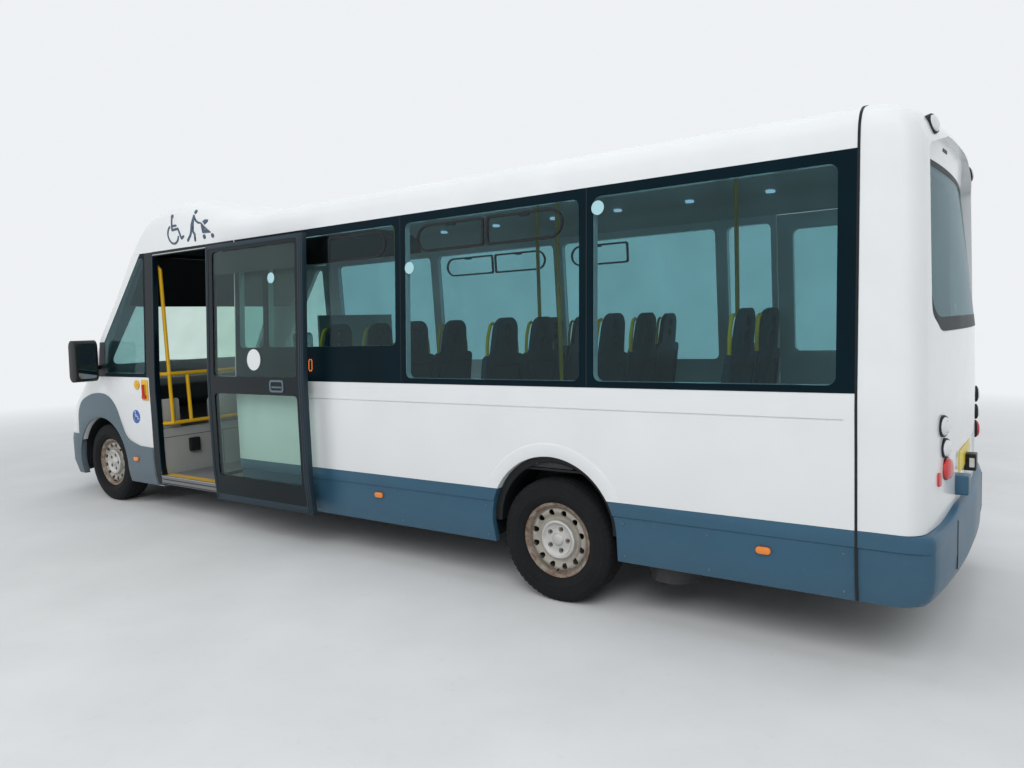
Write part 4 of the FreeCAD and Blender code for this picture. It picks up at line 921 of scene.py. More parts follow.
def screw(x, y, z, side, radius=0.006):
    """A domed screw head on a side panel."""
    profile = [(-0.002, 0.0), (-0.002, radius), (0.001, radius), (0.004, radius * 0.6), (0.005, 0.0)]
    return lathe([(w * side, r) for w, r in profile], (x, y * side, z), "y", 12)


def skirt_screws():
    shapes = []
    for side, first_x in ((-1, door_rear_x + 0.06), (1, cab_end_x + 0.06)):
        for x in (first_x, 2.93, 3.76, 4.47, 5.39, 5.86, 6.50):
            for z, y in ((0.525, 1.0775), (0.345, 1.0610)):
                shapes.append(screw(x, y, z, side))
    made("skirt_screws", joined(shapes), grey_plastic)


def arch_lips():
    """White lip round each rear arch, proud of the wall, turned in round the edge."""
    profile = [(rear_lip_radius, 0.003), (rear_lip_radius, -0.001),
               (rear_lip_radius - 0.004, -rear_lip_proud + 0.001),
               (rear_lip_radius - 0.010, -rear_lip_proud), (rear_arch_radius + 0.006, -rear_lip_proud),
               (rear_arch_radius + 0.001, -rear_lip_proud + 0.002), (rear_arch_radius, 0.002),
               (rear_arch_radius, wall), (rear_arch_radius + 0.004, wall), (rear_arch_radius + 0.006, 0.006)]
    turns = spread(math.radians(15), math.radians(165), 90)
    for side, name in sides:
        sections = [[(wheel_base + r * math.cos(turn), side * (half_width - w),
                      rear_arch_z + r * math.sin(turn))
                     for r, w in profile] for turn in turns]
        lip = solid(f"rear_arch_lip_{name}", swept(sections))
        carved(lip, [block(4.3, 5.6, *side_range(side), skirt_top_z + 0.001, 1.1)], "INTERSECT")
        dressed(lip, white_paint, slot="white_paint", sharp=40)


# Roof, tail and cab skins

def roof_ring(low_level):
    """Rows from one side over the roof to the other."""
    up = spread(low_level, cantrail_row, 8)[:-1] if low_level < cantrail_row else []
    up += spread(cantrail_row, top_row, 26)
    left = [(level, -1) for level in up]
    top = [(top_row, s) for s in spread(-1, 1, 8)[1:-1]]
    return left + top + [(level, 1) for level in reversed(up)]


def roof():
    places = [("nose", p) for p in spread(0, 1, 10)[:-1] + spread(1, 2, 10)[:-1] + spread(2, 3, 4)[:-1]]
    places += [("x", x) for x in spread(dome_top_x, dome_end_x, 18)]
    places += [("x", x) for x in spread(dome_end_x, tail_start_x, 8)[1:-1]]
    places += [("tail", p) for p in spread(3, 2, 3)[:-1] + spread(2, 1, 8)[:-1] + spread(1, 0, 3)]
    shell = solid("roof_skin", thick_grid(roof_ring(cantrail_row), places, 0, skin_thickness), halves=True)
    carved(shell, [block(-1, tail_joint_x - 0.003, -beyond_wall_y, beyond_wall_y, 2.2, 2.9)], "INTERSECT")
    trimmed(shell, display_opening, along, ahead_x, behind_dome_face_x)
    dressed(shell, white_paint, slot="white_paint", stands_for=("roof",))


# Station of the flat panel that the rear plate is fixed to
plate_panel_x = 6.874
recess_outline = rounded([
    (-0.925, 1.500, 0.160), (0.925, 1.500, 0.160), (0.915, 2.330, 0.050),
    (0.480, 2.425, 0.250), (-0.480, 2.425, 0.250), (-0.915, 2.330, 0.050)], 10)
pane_edge_outline = rounded([
    (-0.910, 1.515, 0.190), (0.910, 1.515, 0.190), (0.910, 2.305, 0.120), (-0.910, 2.305, 0.120)], 10)


def rear_window(by):
    return window(-0.890 - by, 0.890 + by, 1.570 - by, 2.285 + by, 0.110)


def bumper_top_z(y):
    """Height of the rear bumper's upper edge, a little higher behind than round the corners."""
    return skirt_top_z + 0.040 * eased((0.860 - abs(y)) / 0.400)


def bulge(place):
    """How far the rear bumper stands proud of the hull: nothing along the side, most across the back."""
    return 0.038 * eased(1.9 - place)


def rear_bumper():
    """Blue-grey moulding from the skirts round the corners, fuller behind, with a rolled top edge."""
    # Columns: share of the height from the hem to the upper edge, share of the bulge, tuck under the crease
    rows = [(0.0, 0.0, 0.012), (0.02, 0.35, 0.010), (0.10, 0.75, 0.008), (0.25, 0.95, 0.009),
            (0.45, 1.0, 0.009), (0.65, 1.0, 0.009), (0.755, 1.0, 0.009), (0.775, 1.0, 0.0),
            (0.90, 1.0, 0.0), (0.94, 0.94, 0.0), (0.97, 0.78, 0.0), (0.99, 0.50, 0.0), (1.0, 0.0, 0.001)]
    places = spread(3, 2, 5)[:-1] + spread(2, 1, 16)[:-1] + spread(1, 0, 14)
    strips = [(place, -1) for place in places] + [(place, 1) for place in reversed(places[:-1])]

    def lift(row, strip, w):
        share, full, tuck = row
        place, side = strip
        y = hull_point(2, ("tail", place), 1, 0)[1]
        z = skirt_bottom_z + (bumper_top_z(y) - 0.001 - skirt_bottom_z) * share
        return hull_point(level_at(z), ("tail", place), side,
                          tuck * eased(place - 0.7) - bulge(place) * full + w)

    shell = solid("rear_bumper_moulding", slab(rows, strips, lift, 0, wall))
    carved(shell, [block(tail_joint_x + 0.003, behind_tail_x, -beyond_wall_y, beyond_wall_y, 0.2, 0.9)],
           "INTERSECT")
    seams = [tube([lift((share, 1.0, 0.0), (0.63, side), -0.0005) for share in spread(0.25, 0.90, 8)],
                  0.0022, 8)
             for side in (-1, 1)]
    dressed(shell, skirt_paint, slot="skirt_paint", stands_for=("rear_bumper",), sharp=28)
    made("rear_bumper_seams", joined(seams), rubber)


def recess_tool(outline, low, high):
    """A cutting solid between two depths of the recess's sheet, inside an outline."""
    tool = solid("tool", slab(spread(-0.960, 0.960, 32), spread(1.481, 2.499, 36), on_recess, low, high))
    return trimmed(tool, outline, along, inside_tail_x, behind_tail_x, "INTERSECT")


def tail():
    """White moulded tail: rounded corners, the rear window's recess under its hood, the bumper's cut-out."""
    places = [("tail", p) for p in spread(3, 2, 4)[:-1] + spread(2, 1, 12)[:-1] + spread(1, 0, 10)]
    shell = solid("tail_moulding", thick_grid(roof_ring(level_at(skirt_top_z)), places, 0, wall),
                  halves=True)
    carved(shell, [block(tail_joint_x + 0.003, behind_tail_x, -beyond_wall_y, beyond_wall_y,
                         skirt_top_z + 0.001, 2.9)], "INTERSECT")
    carved(shell, [slab(spread(-0.925, 0.925, 24), spread(1.530, 2.440, 24), on_tail, 0.020, 0.120)],
           "UNION")
    carved(shell, recess_tool(recess_outline, -0.3, 0))
    carved(shell, recess_tool(rear_window(0.0205), -0.2, glass_thickness))
    trimmed(shell, rear_window(0), along, inside_tail_x, behind_tail_x)
    edge = [(y, bumper_top_z(y)) for y in spread(-1.2, 1.2, 60)]
    trimmed(shell, edge + [(1.2, 0.29), (-1.2, 0.29)], along, inside_tail_x + 0.1, behind_tail_x)
    trimmed(shell, window(-0.500, 0.500, 0.715, 0.930, 0.060), along, plate_panel_x, behind_tail_x)
    dressed(shell, white_paint, slot="white_paint", stands_for=("rear_shell",))
    border = recess_tool(pane_edge_outline, -0.0010, -0.0003)
    trimmed(border, rear_window(-0.010), along, inside_tail_x, behind_tail_x)
    border.name = "rear_glass_border"
    dressed(border, black_print, slot="tinted_glass")


def joint_strip():
    """Black joint between the saloon and the tail, over the roof and down to the skirt's hem."""
    strip = solid("tail_joint_strip", thick_grid(roof_ring(level_at(0.31)),
                                                 [("x", tail_joint_x - 0.006), ("x", tail_joint_x + 0.006)],
                                                 -0.002, 0.006))
    dressed(strip, rubber)


def lamp_bezel(radius):
    return [(-0.020, radius), (0.006, radius), (0.010, radius - 0.003), (0.010, radius - 0.010),
            (-0.020, radius - 0.010)]


def lamp_lens(radius):
    return [(-0.018, 0.0), (-0.018, radius), (0.008, radius), (0.014, radius * 0.93), (0.019, radius * 0.75),
            (0.022, radius * 0.45), (0.023, 0.0)]


def turned(shape, centre, outward, up):
    """A shape turned about a point: outward about the upright axis, then its face lifted."""
    turn = Matrix.Rotation(outward, 3, "Z") @ Matrix.Rotation(-up, 3, "Y")
    middle = Vector(centre)
    return [tuple(middle + turn @ (Vector(p) - middle)) for p in shape[0]], shape[1]


lamp_tilt = math.radians(15)
lamp_lift = math.radians(12)


def tail_lamps():
    # Columns: name, place across, height, radius, lens, face lifted
    rows = [("reverse", 0.785, 1.088, 0.050, lamp_clear, 0), ("turn", 0.745, 0.983, 0.046, lamp_clear, 0),
            ("stop", 0.710, 0.882, 0.050, lamp_red, 0), ("high", 0.810, 2.425, 0.046, lamp_clear, lamp_lift)]
    bezels = []
    diamonds = []
    for name, y, z, radius, look, lift in rows:
        for side, hand in sides:
            centre = (tail_station(y, z) + 0.004, side * y, z)
            if look is not lamp_red:
                bezels.append(turned(lathe(lamp_bezel(radius), centre, "x", 40), centre, side * lamp_tilt,
                                     lift))
            rim_width = 0.0 if look is lamp_red else 0.007
            lens = turned(lathe(lamp_lens(radius - rim_width), centre, "x", 40), centre, side * lamp_tilt,
                          lift)
            made(f"lamp_{name}_{hand}", lens, look, slot="lamp_red" if look is lamp_red else "lamp_glass")
            if name == "reverse":
                for dv in (0.019, -0.019):
                    spots = [(centre[1] + 0.008 * math.cos(a), z + dv + 0.010 * math.sin(a))
                             for a in (0, math.pi / 2, math.pi, 3 * math.pi / 2)]
                    diamond = prism(spots, along, centre[0] + 0.010, centre[0] + 0.0212)
                    diamonds.append(turned(diamond, centre, side * lamp_tilt, 0))
            if name == "stop":
                bezels.append(turned(lathe([(-0.02, radius), (-0.02, radius + 0.003),
                                            (0.004, radius + 0.003), (0.004, radius)], centre, "x", 40),
                                     centre, side * lamp_tilt, 0))
    made("lamp_bezels", joined(bezels), dark_plastic, stands_for=("rear_lamps",))
    made("lamp_diamonds", joined(diamonds), lamp_red)
    for side, hand in sides:
        centre = (tail_station(0.835, 0.851) + 0.001, side * 0.835, 0.851)
        y0, y1 = sorted((side * 0.817, side * 0.853))
        reflector = prism(window(y0, y1, 0.820, 0.882, 0.012), along, centre[0] - 0.008, centre[0] + 0.009)
        made(f"lamp_reflector_{hand}", turned(reflector, centre, side * lamp_tilt, 0), lamp_red,
             slot="lamp_red", bevel=0.003)


def plate_group():
    """Blank rear plate with its lamp, and the cap beside it."""
    x = plate_panel_x
    plate = solid("rear_plate",
                  prism(window(-0.260, 0.260, 0.780, 0.891, 0.006), along, x - 0.001, x + 0.005))
    dressed(plate, plate_yellow, bevel=0.001)
    lamp = prism(window(0.020, 0.110, 0.745, 0.835, 0.010), along, x - 0.004, x + 0.055)
    made("plate_lamp", lamp, dark_plastic, bevel=0.004)
    lens = prism(window(6.898, 6.922, 0.765, 0.815, 0.004), across, 0.0185, 0.0300)
    made("plate_lamp_lens", lens, lamp_clear)
    cap = prism(window(-0.500, -0.400, 0.717, 0.812, 0.012), along, x - 0.004, x + 0.066)
    made("tail_cap", cap, skirt_paint, bevel=0.006)
    slot = solid("hood_slot", prism(window(-0.400, -0.290, 2.372, 2.388, 0.007), on_recess, -0.0015, 0.004))
    dressed(slot, dark_plastic)
    made("rear_pane_sticker", prism(window(-0.43, -0.37, 1.590, 1.640, 0.004), on_recess, 0.0065, 0.0075),
         sticker_white)


def screen_outline(by):
    return rounded([(-0.900 - by, 1.290 - by, 0.080), (0.900 + by, 1.290 - by, 0.080),
                    (0.800 + by, 2.300 + by, 0.060), (-0.800 - by, 2.300 + by, 0.060)])


def bonnet_outline(by):
    return rounded([(-0.690 - by, 0.975 - by, 0.060), (0.690 + by, 0.975 - by, 0.060),
                    (0.720 + by, 1.400, 0), (-0.720 - by, 1.400, 0)])


driver_window = [(0.110, 1.290, 0.030), (0.760, 1.290, 0.030), (0.760, 2.255, 0.030), (0.662, 2.255, 0.030),
                 (0.120, 1.560, 0.040)]
quarter_window = [(0.020, 1.290, 0.030), (0.775, 1.290, 0.030), (0.775, 2.290, 0.030), (0.665, 2.290, 0.030),
                  (0.090, 1.600, 0.060)]
quarter_pane = [(-0.020, 1.256), (0.800, 1.256), (0.800, 2.329), (0.640, 2.329), (0.020, 1.590)]


def bonnet():
    panel = solid("bonnet_panel", nose_skin(0.900, 1.420, 0, 0.012, back=2.0))
    trimmed(panel, bonnet_outline(0), along, ahead_x, -0.530, "INTERSECT")
    dressed(panel, white_paint, "bonnet", "white_paint", ("bonnet",))


# Small things on the glass and the panels

def hoppers():
    """Opening upper lights: black frames on the panes, with a catch each."""
    # Columns: side, first and last station, radius of the first and last corners
    rows = [(-1, 3.140, 3.690, 0.02, 0.09), (-1, 3.960, 4.490, 0.09, 0.02), (-1, 4.510, 5.040, 0.02, 0.09),
            (1, 2.480, 3.030, 0.09, 0.02), (1, 3.050, 3.600, 0.02, 0.09), (1, 3.860, 4.400, 0.09, 0.02)]
    frames = []
    catches = []
    for side, x0, x1, r0, r1 in rows:
        outer = rounded([(x0, 2.080, r0), (x1, 2.080, r1), (x1, 2.250, r1), (x0, 2.250, r0)], 8)
        inner = rounded([(x0 + 0.014, 2.094, r0 * 0.8), (x1 - 0.014, 2.094, r1 * 0.8),
                         (x1 - 0.014, 2.236, r1 * 0.8), (x0 + 0.014, 2.236, r0 * 0.8)], 8)
        frames.append(frame_ring(outer, inner, on_side(side), -0.0012, 0.016))
        middle = (x0 + x1) / 2
        catches.append(prism(window(middle - 0.03, middle + 0.03, 2.225, 2.245, 0.005), on_side(side),
                             0.008, 0.034))
    made("hopper_frames", joined(frames), rubber)
    made("hopper_catches", joined(catches), dark_plastic)


def disc(x, z, radius):
    return ring(x, z, radius, 32)


def stroke(points, width):
    """Flat outlines of a line with round ends: short bars along each run and a disc at each point."""
    shapes = []
    for (u0, v0), (u1, v1) in zip(points, points[1:]):
        count = max(1, math.ceil(math.hypot(u1 - u0, v1 - v0) / 0.020))
        run = Vector((u1 - u0, v1 - v0)).normalized() * (width / 2)
        spots = list(zip(spread(u0, u1, count), spread(v0, v1, count)))
        for (a, b), (c, d) in zip(spots, spots[1:]):
            shapes.append([(a + run.y, b - run.x), (c + run.y, d - run.x), (c - run.y, d + run.x),
                           (a - run.y, b + run.x)])
    shapes += [ring(u, v, width / 2, 12) for u, v in points]
    return shapes


def arc(u, v, radius, first, last, steps=20):
    return [(u + radius * math.cos(math.radians(a)), v + radius * math.sin(math.radians(a)))
            for a in spread(first, last, steps)]


# Strokes of the signs, in metres about the wheel's hub and about the walker's hip
wheelchair_sign = (
    stroke([(-0.012, 0.133), (-0.008, 0.037), (0.079, 0.048), (0.117, -0.035), (0.150, -0.017)], 0.019)
    + stroke([(-0.008, 0.073), (0.053, 0.075)], 0.017) + stroke(arc(0, 0, 0.0765, 122, 345), 0.017)
    + [ring(-0.008, 0.155, 0.0185, 20)])
pushchair_sign = (
    stroke([(0.031, 0.130), (0.020, 0.060), (0.014, 0.000), (0.034, -0.022), (0.030, -0.072)], 0.022)
    + stroke([(0.028, 0.120), (0.000, 0.050), (-0.012, 0.000), (-0.030, -0.032), (-0.073, -0.072)], 0.022)
    + stroke([(0.036, 0.122), (0.061, 0.087), (0.097, 0.070)], 0.017) + [ring(0.0445, 0.166, 0.0175, 20)]
    + stroke([(0.109, 0.071), (0.134, 0.064), (0.190, 0.024), (0.247, -0.010)], 0.013)
    + stroke([(0.140, 0.050), (0.150, -0.008), (0.236, -0.006)], 0.018)
    + stroke([(0.158, 0.030), (0.172, 0.004), (0.205, 0.000)], 0.022)
    + [[(0.182, 0.052), (0.150, 0.079), (0.182, 0.095), (0.224, 0.093), (0.219, 0.073)]]
    + [ring(0.162, -0.046, 0.019, 20), ring(0.275, -0.038, 0.019, 20)])


def drawn(shapes, u, v, size=1.0, lean=0.0, fall=0.0):
    """Outlines put at a place, to a size, leaning and falling with the dome's side."""
    return [[(u + size * (a + lean * b), v + size * (b + fall * a)) for a, b in outline]
            for outline in shapes]


def sign(name, shapes, lift, look, low=-0.0014, high=-0.0004):
    dressed(solid(name, joined([prism(shape, lift, low, high) for shape in shapes]), 0.00001), look)


def signs():
    left = on_side(-1)
    sign("sign_wheelchair", drawn(wheelchair_sign, 1.242, 2.448, 1.0, -0.28, -0.07), left, sign_grey,
         -0.003, 0.004)
    sign("sign_pushchair", drawn(pushchair_sign, 1.514, 2.447, 1.0, -0.28, -0.07), left, sign_grey, -0.003,
         0.004)
    sign("badge_disc", [disc(0.590, 0.905, 0.060)], left, sticker_blue)
    sign("badge_figure", drawn(wheelchair_sign, 0.580, 0.893, 0.36), left, sticker_white, -0.0022, -0.0012)
    sign("pane_discs", [disc(3.900, 1.990, 0.038), disc(5.260, 2.215, 0.038)], left, pale_disc)
    sign("leaf_disc", [disc(2.665, 2.000, 0.038)], on_leaf, pale_disc, 0.0045, 0.0055)
    sign("leaf_sticker", [disc(2.455, 1.415, 0.078)], on_leaf, sticker_white, 0.0045, 0.0055)
    dots = [ring(x, z, 0.0042, 8) for z in spread(1.343, 1.397, 4) for x in (2.930, 2.962)]
    dots += [ring(x, z, 0.0042, 8) for z in (1.331, 1.409) for x in (2.938, 2.954)]
    sign("route_digit", dots, left, dot_orange, -0.0020, -0.0006)


def release_plate():
    """Yellow plate with a red emergency handle and a button, beside the entrance."""
    left = on_side(-1)
    plate = solid("release_plate", prism(window(0.715, 0.815, 1.055, 1.235, 0.012), left, -0.006, -0.0003))
    dressed(plate, rail_yellow, bevel=0.002)
    handle = [tube([hull_point(level_for(z, ("x", 0.765)), ("x", 0.765), -1, -0.020)
                    for z in (1.085, 1.140, 1.195)],
                   0.011, 12)]
    handle.append(prism(window(0.742, 0.788, 1.070, 1.100, 0.008), left, -0.024, -0.005))
    made("release_handle", joined(handle), sticker_red, bevel=0.001)
    x, y, z = hull_point(level_for(1.190, ("x", 0.640)), ("x", 0.640), -1, 0)
    button = lathe([(0.003, 0.0), (0.003, 0.040), (-0.006, 0.040), (-0.009, 0.036), (-0.009, 0.018),
                    (-0.013, 0.016), (-0.013, 0.0)], (x, y, z), "y", 32)
    made("entry_button", button, rail_yellow)


# Passenger door

def leaf_skin(x0, x1, z0, z1, low, high):
    zs = [z0] + spread(z0, z1, 8)[1:-1] + [z1]
    zs = sorted(zs + ([waist_z] if z0 < waist_z < z1 else []))
    return slab([x0, (x0 + x1) / 2, x1], zs, on_leaf, low, high)


# Clear part of the leaf's two panes: stations, then heights of the upper and the lower one
leaf_light_x0 = 1.000 + leaf_shift_x
leaf_light_x1 = 1.970 + leaf_shift_x
leaf_light_heights = [(1.290, 2.235), (0.520, 1.160)]


def door_leaf():
    """Door of bonded glass in a thin frame with rubber edges, a handle pocket and inner gear rail."""
    x0 = door_front_x + leaf_shift_x
    x1 = door_rear_x + leaf_shift_x
    reach = (-1.4, -0.9)
    lights = [prism(window(leaf_light_x0, leaf_light_x1, z0, z1, 0.03), across, *reach)
              for z0, z1 in leaf_light_heights]
    leaf = solid("door_leaf_frame", leaf_skin(x0 + 0.012, x1 - 0.012, 0.335, 2.276, 0.0, 0.038))
    carved(leaf, lights)
    seats = [leaf_skin(leaf_light_x0 - 0.02, leaf_light_x1 + 0.02, z0 - 0.02, z1 + 0.02, 0.0055, 0.0125)
             for z0, z1 in leaf_light_heights]
    carved(leaf, seats)
    dressed(leaf, black_gloss, slot="dark_plastic", stands_for=("door_leaf",))
    edge = solid("door_leaf_rubber", leaf_skin(x0, x1, 0.320, 2.290, -0.003, 0.037))
    trimmed(edge, window(x0 - 0.1, x1 + 0.1, 0.2, 2.290, 0.035), across, *reach, "INTERSECT")
    trimmed(edge, window(x0 + 0.030, x1 - 0.052, 0.372, 2.262, 0.02), across, *reach)
    dressed(edge, grey_rubber, bevel=0.003)
    ribs = [leaf_skin(x, x + 0.004, 0.330, 2.280, -0.0045, 0.001)
            for x in (x1 - 0.040, x1 - 0.016, x0 + 0.014)]
    made("door_leaf_ribs", joined(ribs), rubber)
    grip = [frame_ring(window(2.643, 2.797, 1.182, 1.270, 0.022), window(2.657, 2.783, 1.196, 1.256, 0.014),
                       on_leaf, -0.005, 0.004),
            prism(window(2.665, 2.775, 1.212, 1.224, 0.003), on_leaf, -0.0035, 0.003)]
    made("door_handle_frame", joined(grip), grey_plastic, bevel=0.001)
    shade = solid("door_light_shade",
                  leaf_skin(leaf_light_x0 + 0.003, leaf_light_x1 - 0.003, 2.060, 2.232, 0.0128, 0.0150))
    dressed(shade, rubber)
    rail = solid("door_gear_rail", block(1.900, 2.990, -1.166, -1.150, 1.180, 1.240))
    dressed(rail, dark_plastic, bevel=0.003)


def door_surround():
    """Black pillar and header round the entrance, with their bright strips and the sill's edge."""
    shapes = [slab([0.836, 0.919], spread(0.31, waist_z, 8), on_side(-1), -0.0015, 0.0),
              slab([0.803, 0.919], spread(waist_z, 2.328, 10), on_side(-1), -0.0015, 0.0),
              slab([0.925, 2.050], [2.292, 2.328], on_side(-1), -0.0015, 0.040),
              slab([0.9196, 0.9225], spread(0.308, 2.328, 12), on_side(-1), -0.001, 0.050)]
    made("door_pillar_skin", joined(shapes), black_gloss)
    pillar = prism([(0.012, 1.572), (0.095, 1.572), (0.725, 2.3285), (0.641, 2.3285), (0.022, 1.590)],
                   on_side(-1), -0.0012, 0.0005)
    made("screen_pillar_skin", pillar, white_paint)
    foot = prism([(-0.018, 1.257), (0.110, 1.257), (0.095, 1.571), (0.012, 1.571)], on_side(-1), -0.0012,
                 0.0005)
    made("screen_pillar_foot", foot, dark_plastic)
    seals = [slab([0.9185, 0.9265], spread(0.31, 2.290, 12), on_side(-1), -0.004, 0.006)]
    made("door_seal", joined(seals), grey_rubber, bevel=0.001)
    strip = [slab([0.930, 2.045], [2.300, 2.306], on_side(-1), -0.0035, -0.0015),
             block(0.925, 2.045, -1.082, -1.060, 0.3985, 0.4035)]
    made("door_bright_strips", joined(strip), aluminium)
    made("sill_line", block(0.925, 2.065, -1.058, -0.975, 0.3995, 0.4025), rail_yellow)
    under = [block(0.935, 2.060, -1.0795, -1.0770, 0.336, 0.342),
             block(0.935, 2.060, -1.0795, -1.0770, 0.370, 0.376)]
    made("sill_ribs", joined(under), rubber)


def entrance_panel():
    """Panel ahead of the entrance: seams, a small black box, the grey panels over it and the rail brackets.
    """
    face_x = 0.915
    shapes = [block(face_x - 0.001, face_x + 0.0012, -1.030, -0.172, 0.722, 0.726),
              block(face_x - 0.001, face_x + 0.0012, -0.452, -0.448, 0.402, 0.724)]
    made("panel_seams", joined(shapes), rubber)
    box_shape = prism(window(-0.800, -0.705, 0.575, 0.695, 0.010), along, face_x, face_x + 0.035)
    made("panel_box", box_shape, dark_plastic, bevel=0.004)
    upper = [prism(rounded([(-1.035, 0.802, 0), (-0.860, 0.802, 0), (-0.860, 1.060, 0.02),
                            (-1.035, 1.060, 0)]),
                   along, 0.880, 0.905)]
    upper.append(prism(rounded([(-0.560, 0.802, 0), (-0.172, 0.802, 0), (-0.172, 1.150, 0.02),
                                (-0.400, 1.150, 0.06), (-0.560, 1.020, 0.06)]), along, 0.860, 0.905))
    made("entrance_upper_panel", joined(upper), panel_grey, bevel=0.004)
    flange = [(-0.012, 0.0), (-0.012, 0.030), (0.006, 0.030), (0.010, 0.024), (0.010, 0.0)]
    brackets = [lathe(flange, (0.905, -1.035, z), "x", 24) for z in (0.850, 1.280)]
    made("rail_brackets", joined(brackets), rail_yellow)


# Seats

def pad_surface(half_u, half_v, rise, crown, channels, lift, count=24):
    """A stuffed pad: crowned front, sides that pull in between the corners, sewn channels, piped edge."""

    def spot(a, b):
        u = a * (1 - 0.10 * abs(a) * b ** 8) * (1 - 0.035 * (1 - b * b))
        v = b * (1 - 0.08 * abs(b) * a ** 8) * (1 - 0.030 * (1 - a * a))
        return u * half_u, v * half_v

    def height(a, b):
        full = math.sqrt(max(0, 1 - a ** 8)) * math.sqrt(max(0, 1 - b ** 8))
        sewn = sum(math.exp(-((b - place) / 0.035) ** 2) for place in channels)
        return full * (rise + crown * (1 - a * a) * (1 - b * b) - 0.007 * sewn)

    ticks = [math.sin(math.pi / 2 * (2 * k / count - 1)) for k in range(count + 1)]
    front = [(*spot(a, b), -height(a, b)) for b in ticks for a in ticks]
    back = [(u, v, 0.004 if 0 < i % (count + 1) < count else 0.0) for i, (u, v, _) in enumerate(front)]
    verts = [lift(*p) for p in front + back]
    size = len(front)
    row = count + 1
    faces = []
    for r in range(count):
        for c in range(count):
            quad = (r * row + c, r * row + c + 1, (r + 1) * row + c + 1, (r + 1) * row + c)
            faces += [quad, tuple(i + size for i in reversed(quad))]
    rim = list(range(row)) + [r * row + count for r in range(1, row)]
    rim += [size - 2 - c for c in range(count)] + [r * row for r in reversed(range(1, count))]
    for i, after in zip(rim, rim[1:] + rim[:1]):
        faces.append((after, i, i + size, after + size))
    piping = tube([verts[i] for i in rim] + [verts[rim[0]], verts[rim[1]]], 0.0035, 8, False)
    return joined([(verts, faces), piping])


seat_rows = [(2.970, -0.618), (3.720, -0.618), (4.470, -0.618), (5.220, -0.618), (5.970, -0.618),
             (4.050, 0.618), (4.820, 0.618), (5.570, 0.618)]
seat_pitch = 0.420
head_hole_radius = 0.024
head_hole_heights = (1.505, 1.585)
driver_seat_y = 0.480


def seat_lean(z):
    return -0.100 + (z - 0.865) * 0.125


def on_back(u, v, w):
    return (seat_lean(v) + w, u, v)


def seat_shell():
    """Moulded back and pan of a passenger seat about its own headrest station, the head pierced twice."""
    outline = rounded([(-0.198, 0.862, 0.02), (0.198, 0.862, 0.02), (0.198, 1.420, 0.035),
                       (0.126, 1.430, 0.012), (0.106, 1.654, 0.085), (-0.106, 1.654, 0.085),
                       (-0.126, 1.430, 0.012), (-0.198, 1.420, 0.035)], 8)
    shell = solid("seat_shell", prism(outline, on_back, 0.002, 0.036))
    carved(shell, [prism(ring(0, z, head_hole_radius), along, -0.4, 0.4) for z in head_hole_heights])
    pan = rounded([(-0.545, 0.822, 0.02), (-0.100, 0.822, 0.01), (-0.100, 0.862, 0.005),
                   (-0.545, 0.850, 0.012)])
    trimmed(shell, pan, across, -0.193, 0.193, "UNION")
    edge = window(-0.170, 0.170, 0.930, 1.380, 0.03)
    outer, inner = [[(u * share, 1.10 + (v - 1.10) * share) for u, v in edge] for share in (0.97, 0.90)]
    rim = frame_ring(outer, inner, on_back, 0.034, 0.041)
    head = [frame_ring(ring(0, z, 0.033), ring(0, z, head_hole_radius), on_back, -0.003, 0.040)
            for z in head_hole_heights]
    return shell, solid("seat_trim", joined([rim] + head))


def seat_grips():
    shapes = []
    for side in (-1, 1):
        path = bar_path([(-0.019, side * 0.160, 1.400), (-0.019, side * 0.155, 1.520),
                         (-0.019, side * 0.116, 1.612), (-0.019, side * 0.088, 1.620)], 0.06, 8)
        shapes.append(tube(path, 0.0105, 12))
    return solid("seat_grips", joined(shapes))


def seats():
    first = to_ground @ Matrix.Translation((seat_rows[0][0], seat_rows[0][1] - seat_pitch / 2, 0))
    shell, trim = seat_shell()
    softened(shell, 0.006, 3, 50)
    grips = seat_grips()
    squab = solid("seat_squab", pad_surface(0.208, 0.188, 0.040, 0.012, (-0.45, 0.45),
                                            lambda u, v, w: (-0.335 + u, v, 0.862 - w)))
    back = solid("seat_back_pad", pad_surface(0.178, 0.240, 0.026, 0.010, (-0.5, 0.0, 0.5),
                                              lambda u, v, w: on_back(u, 1.150 + v, 0.002 + w)))
    parts = [(shell, seat_plastic, "seat_fabric", ("seats",)), (trim, dark_plastic, None, ()),
             (grips, rail_yellow, "rail_yellow", ()), (squab, seat_fabric, "seat_fabric", ()),
             (back, seat_fabric, "seat_fabric", ())]
    for piece, look, slot, stands_for in parts:
        placed(piece, first, look, slot=slot, stands_for=stands_for, sharp=45)
    places = [(x, y + shift * seat_pitch) for x, y in seat_rows for shift in (-0.5, 0.5)]
    for number, (x, y) in enumerate(places[1:], 2):
        matrix = to_ground @ Matrix.Translation((x, y, 0))
        for piece, *_ in parts:
            copy = twin(piece, f"{piece.name}_{number}", matrix)


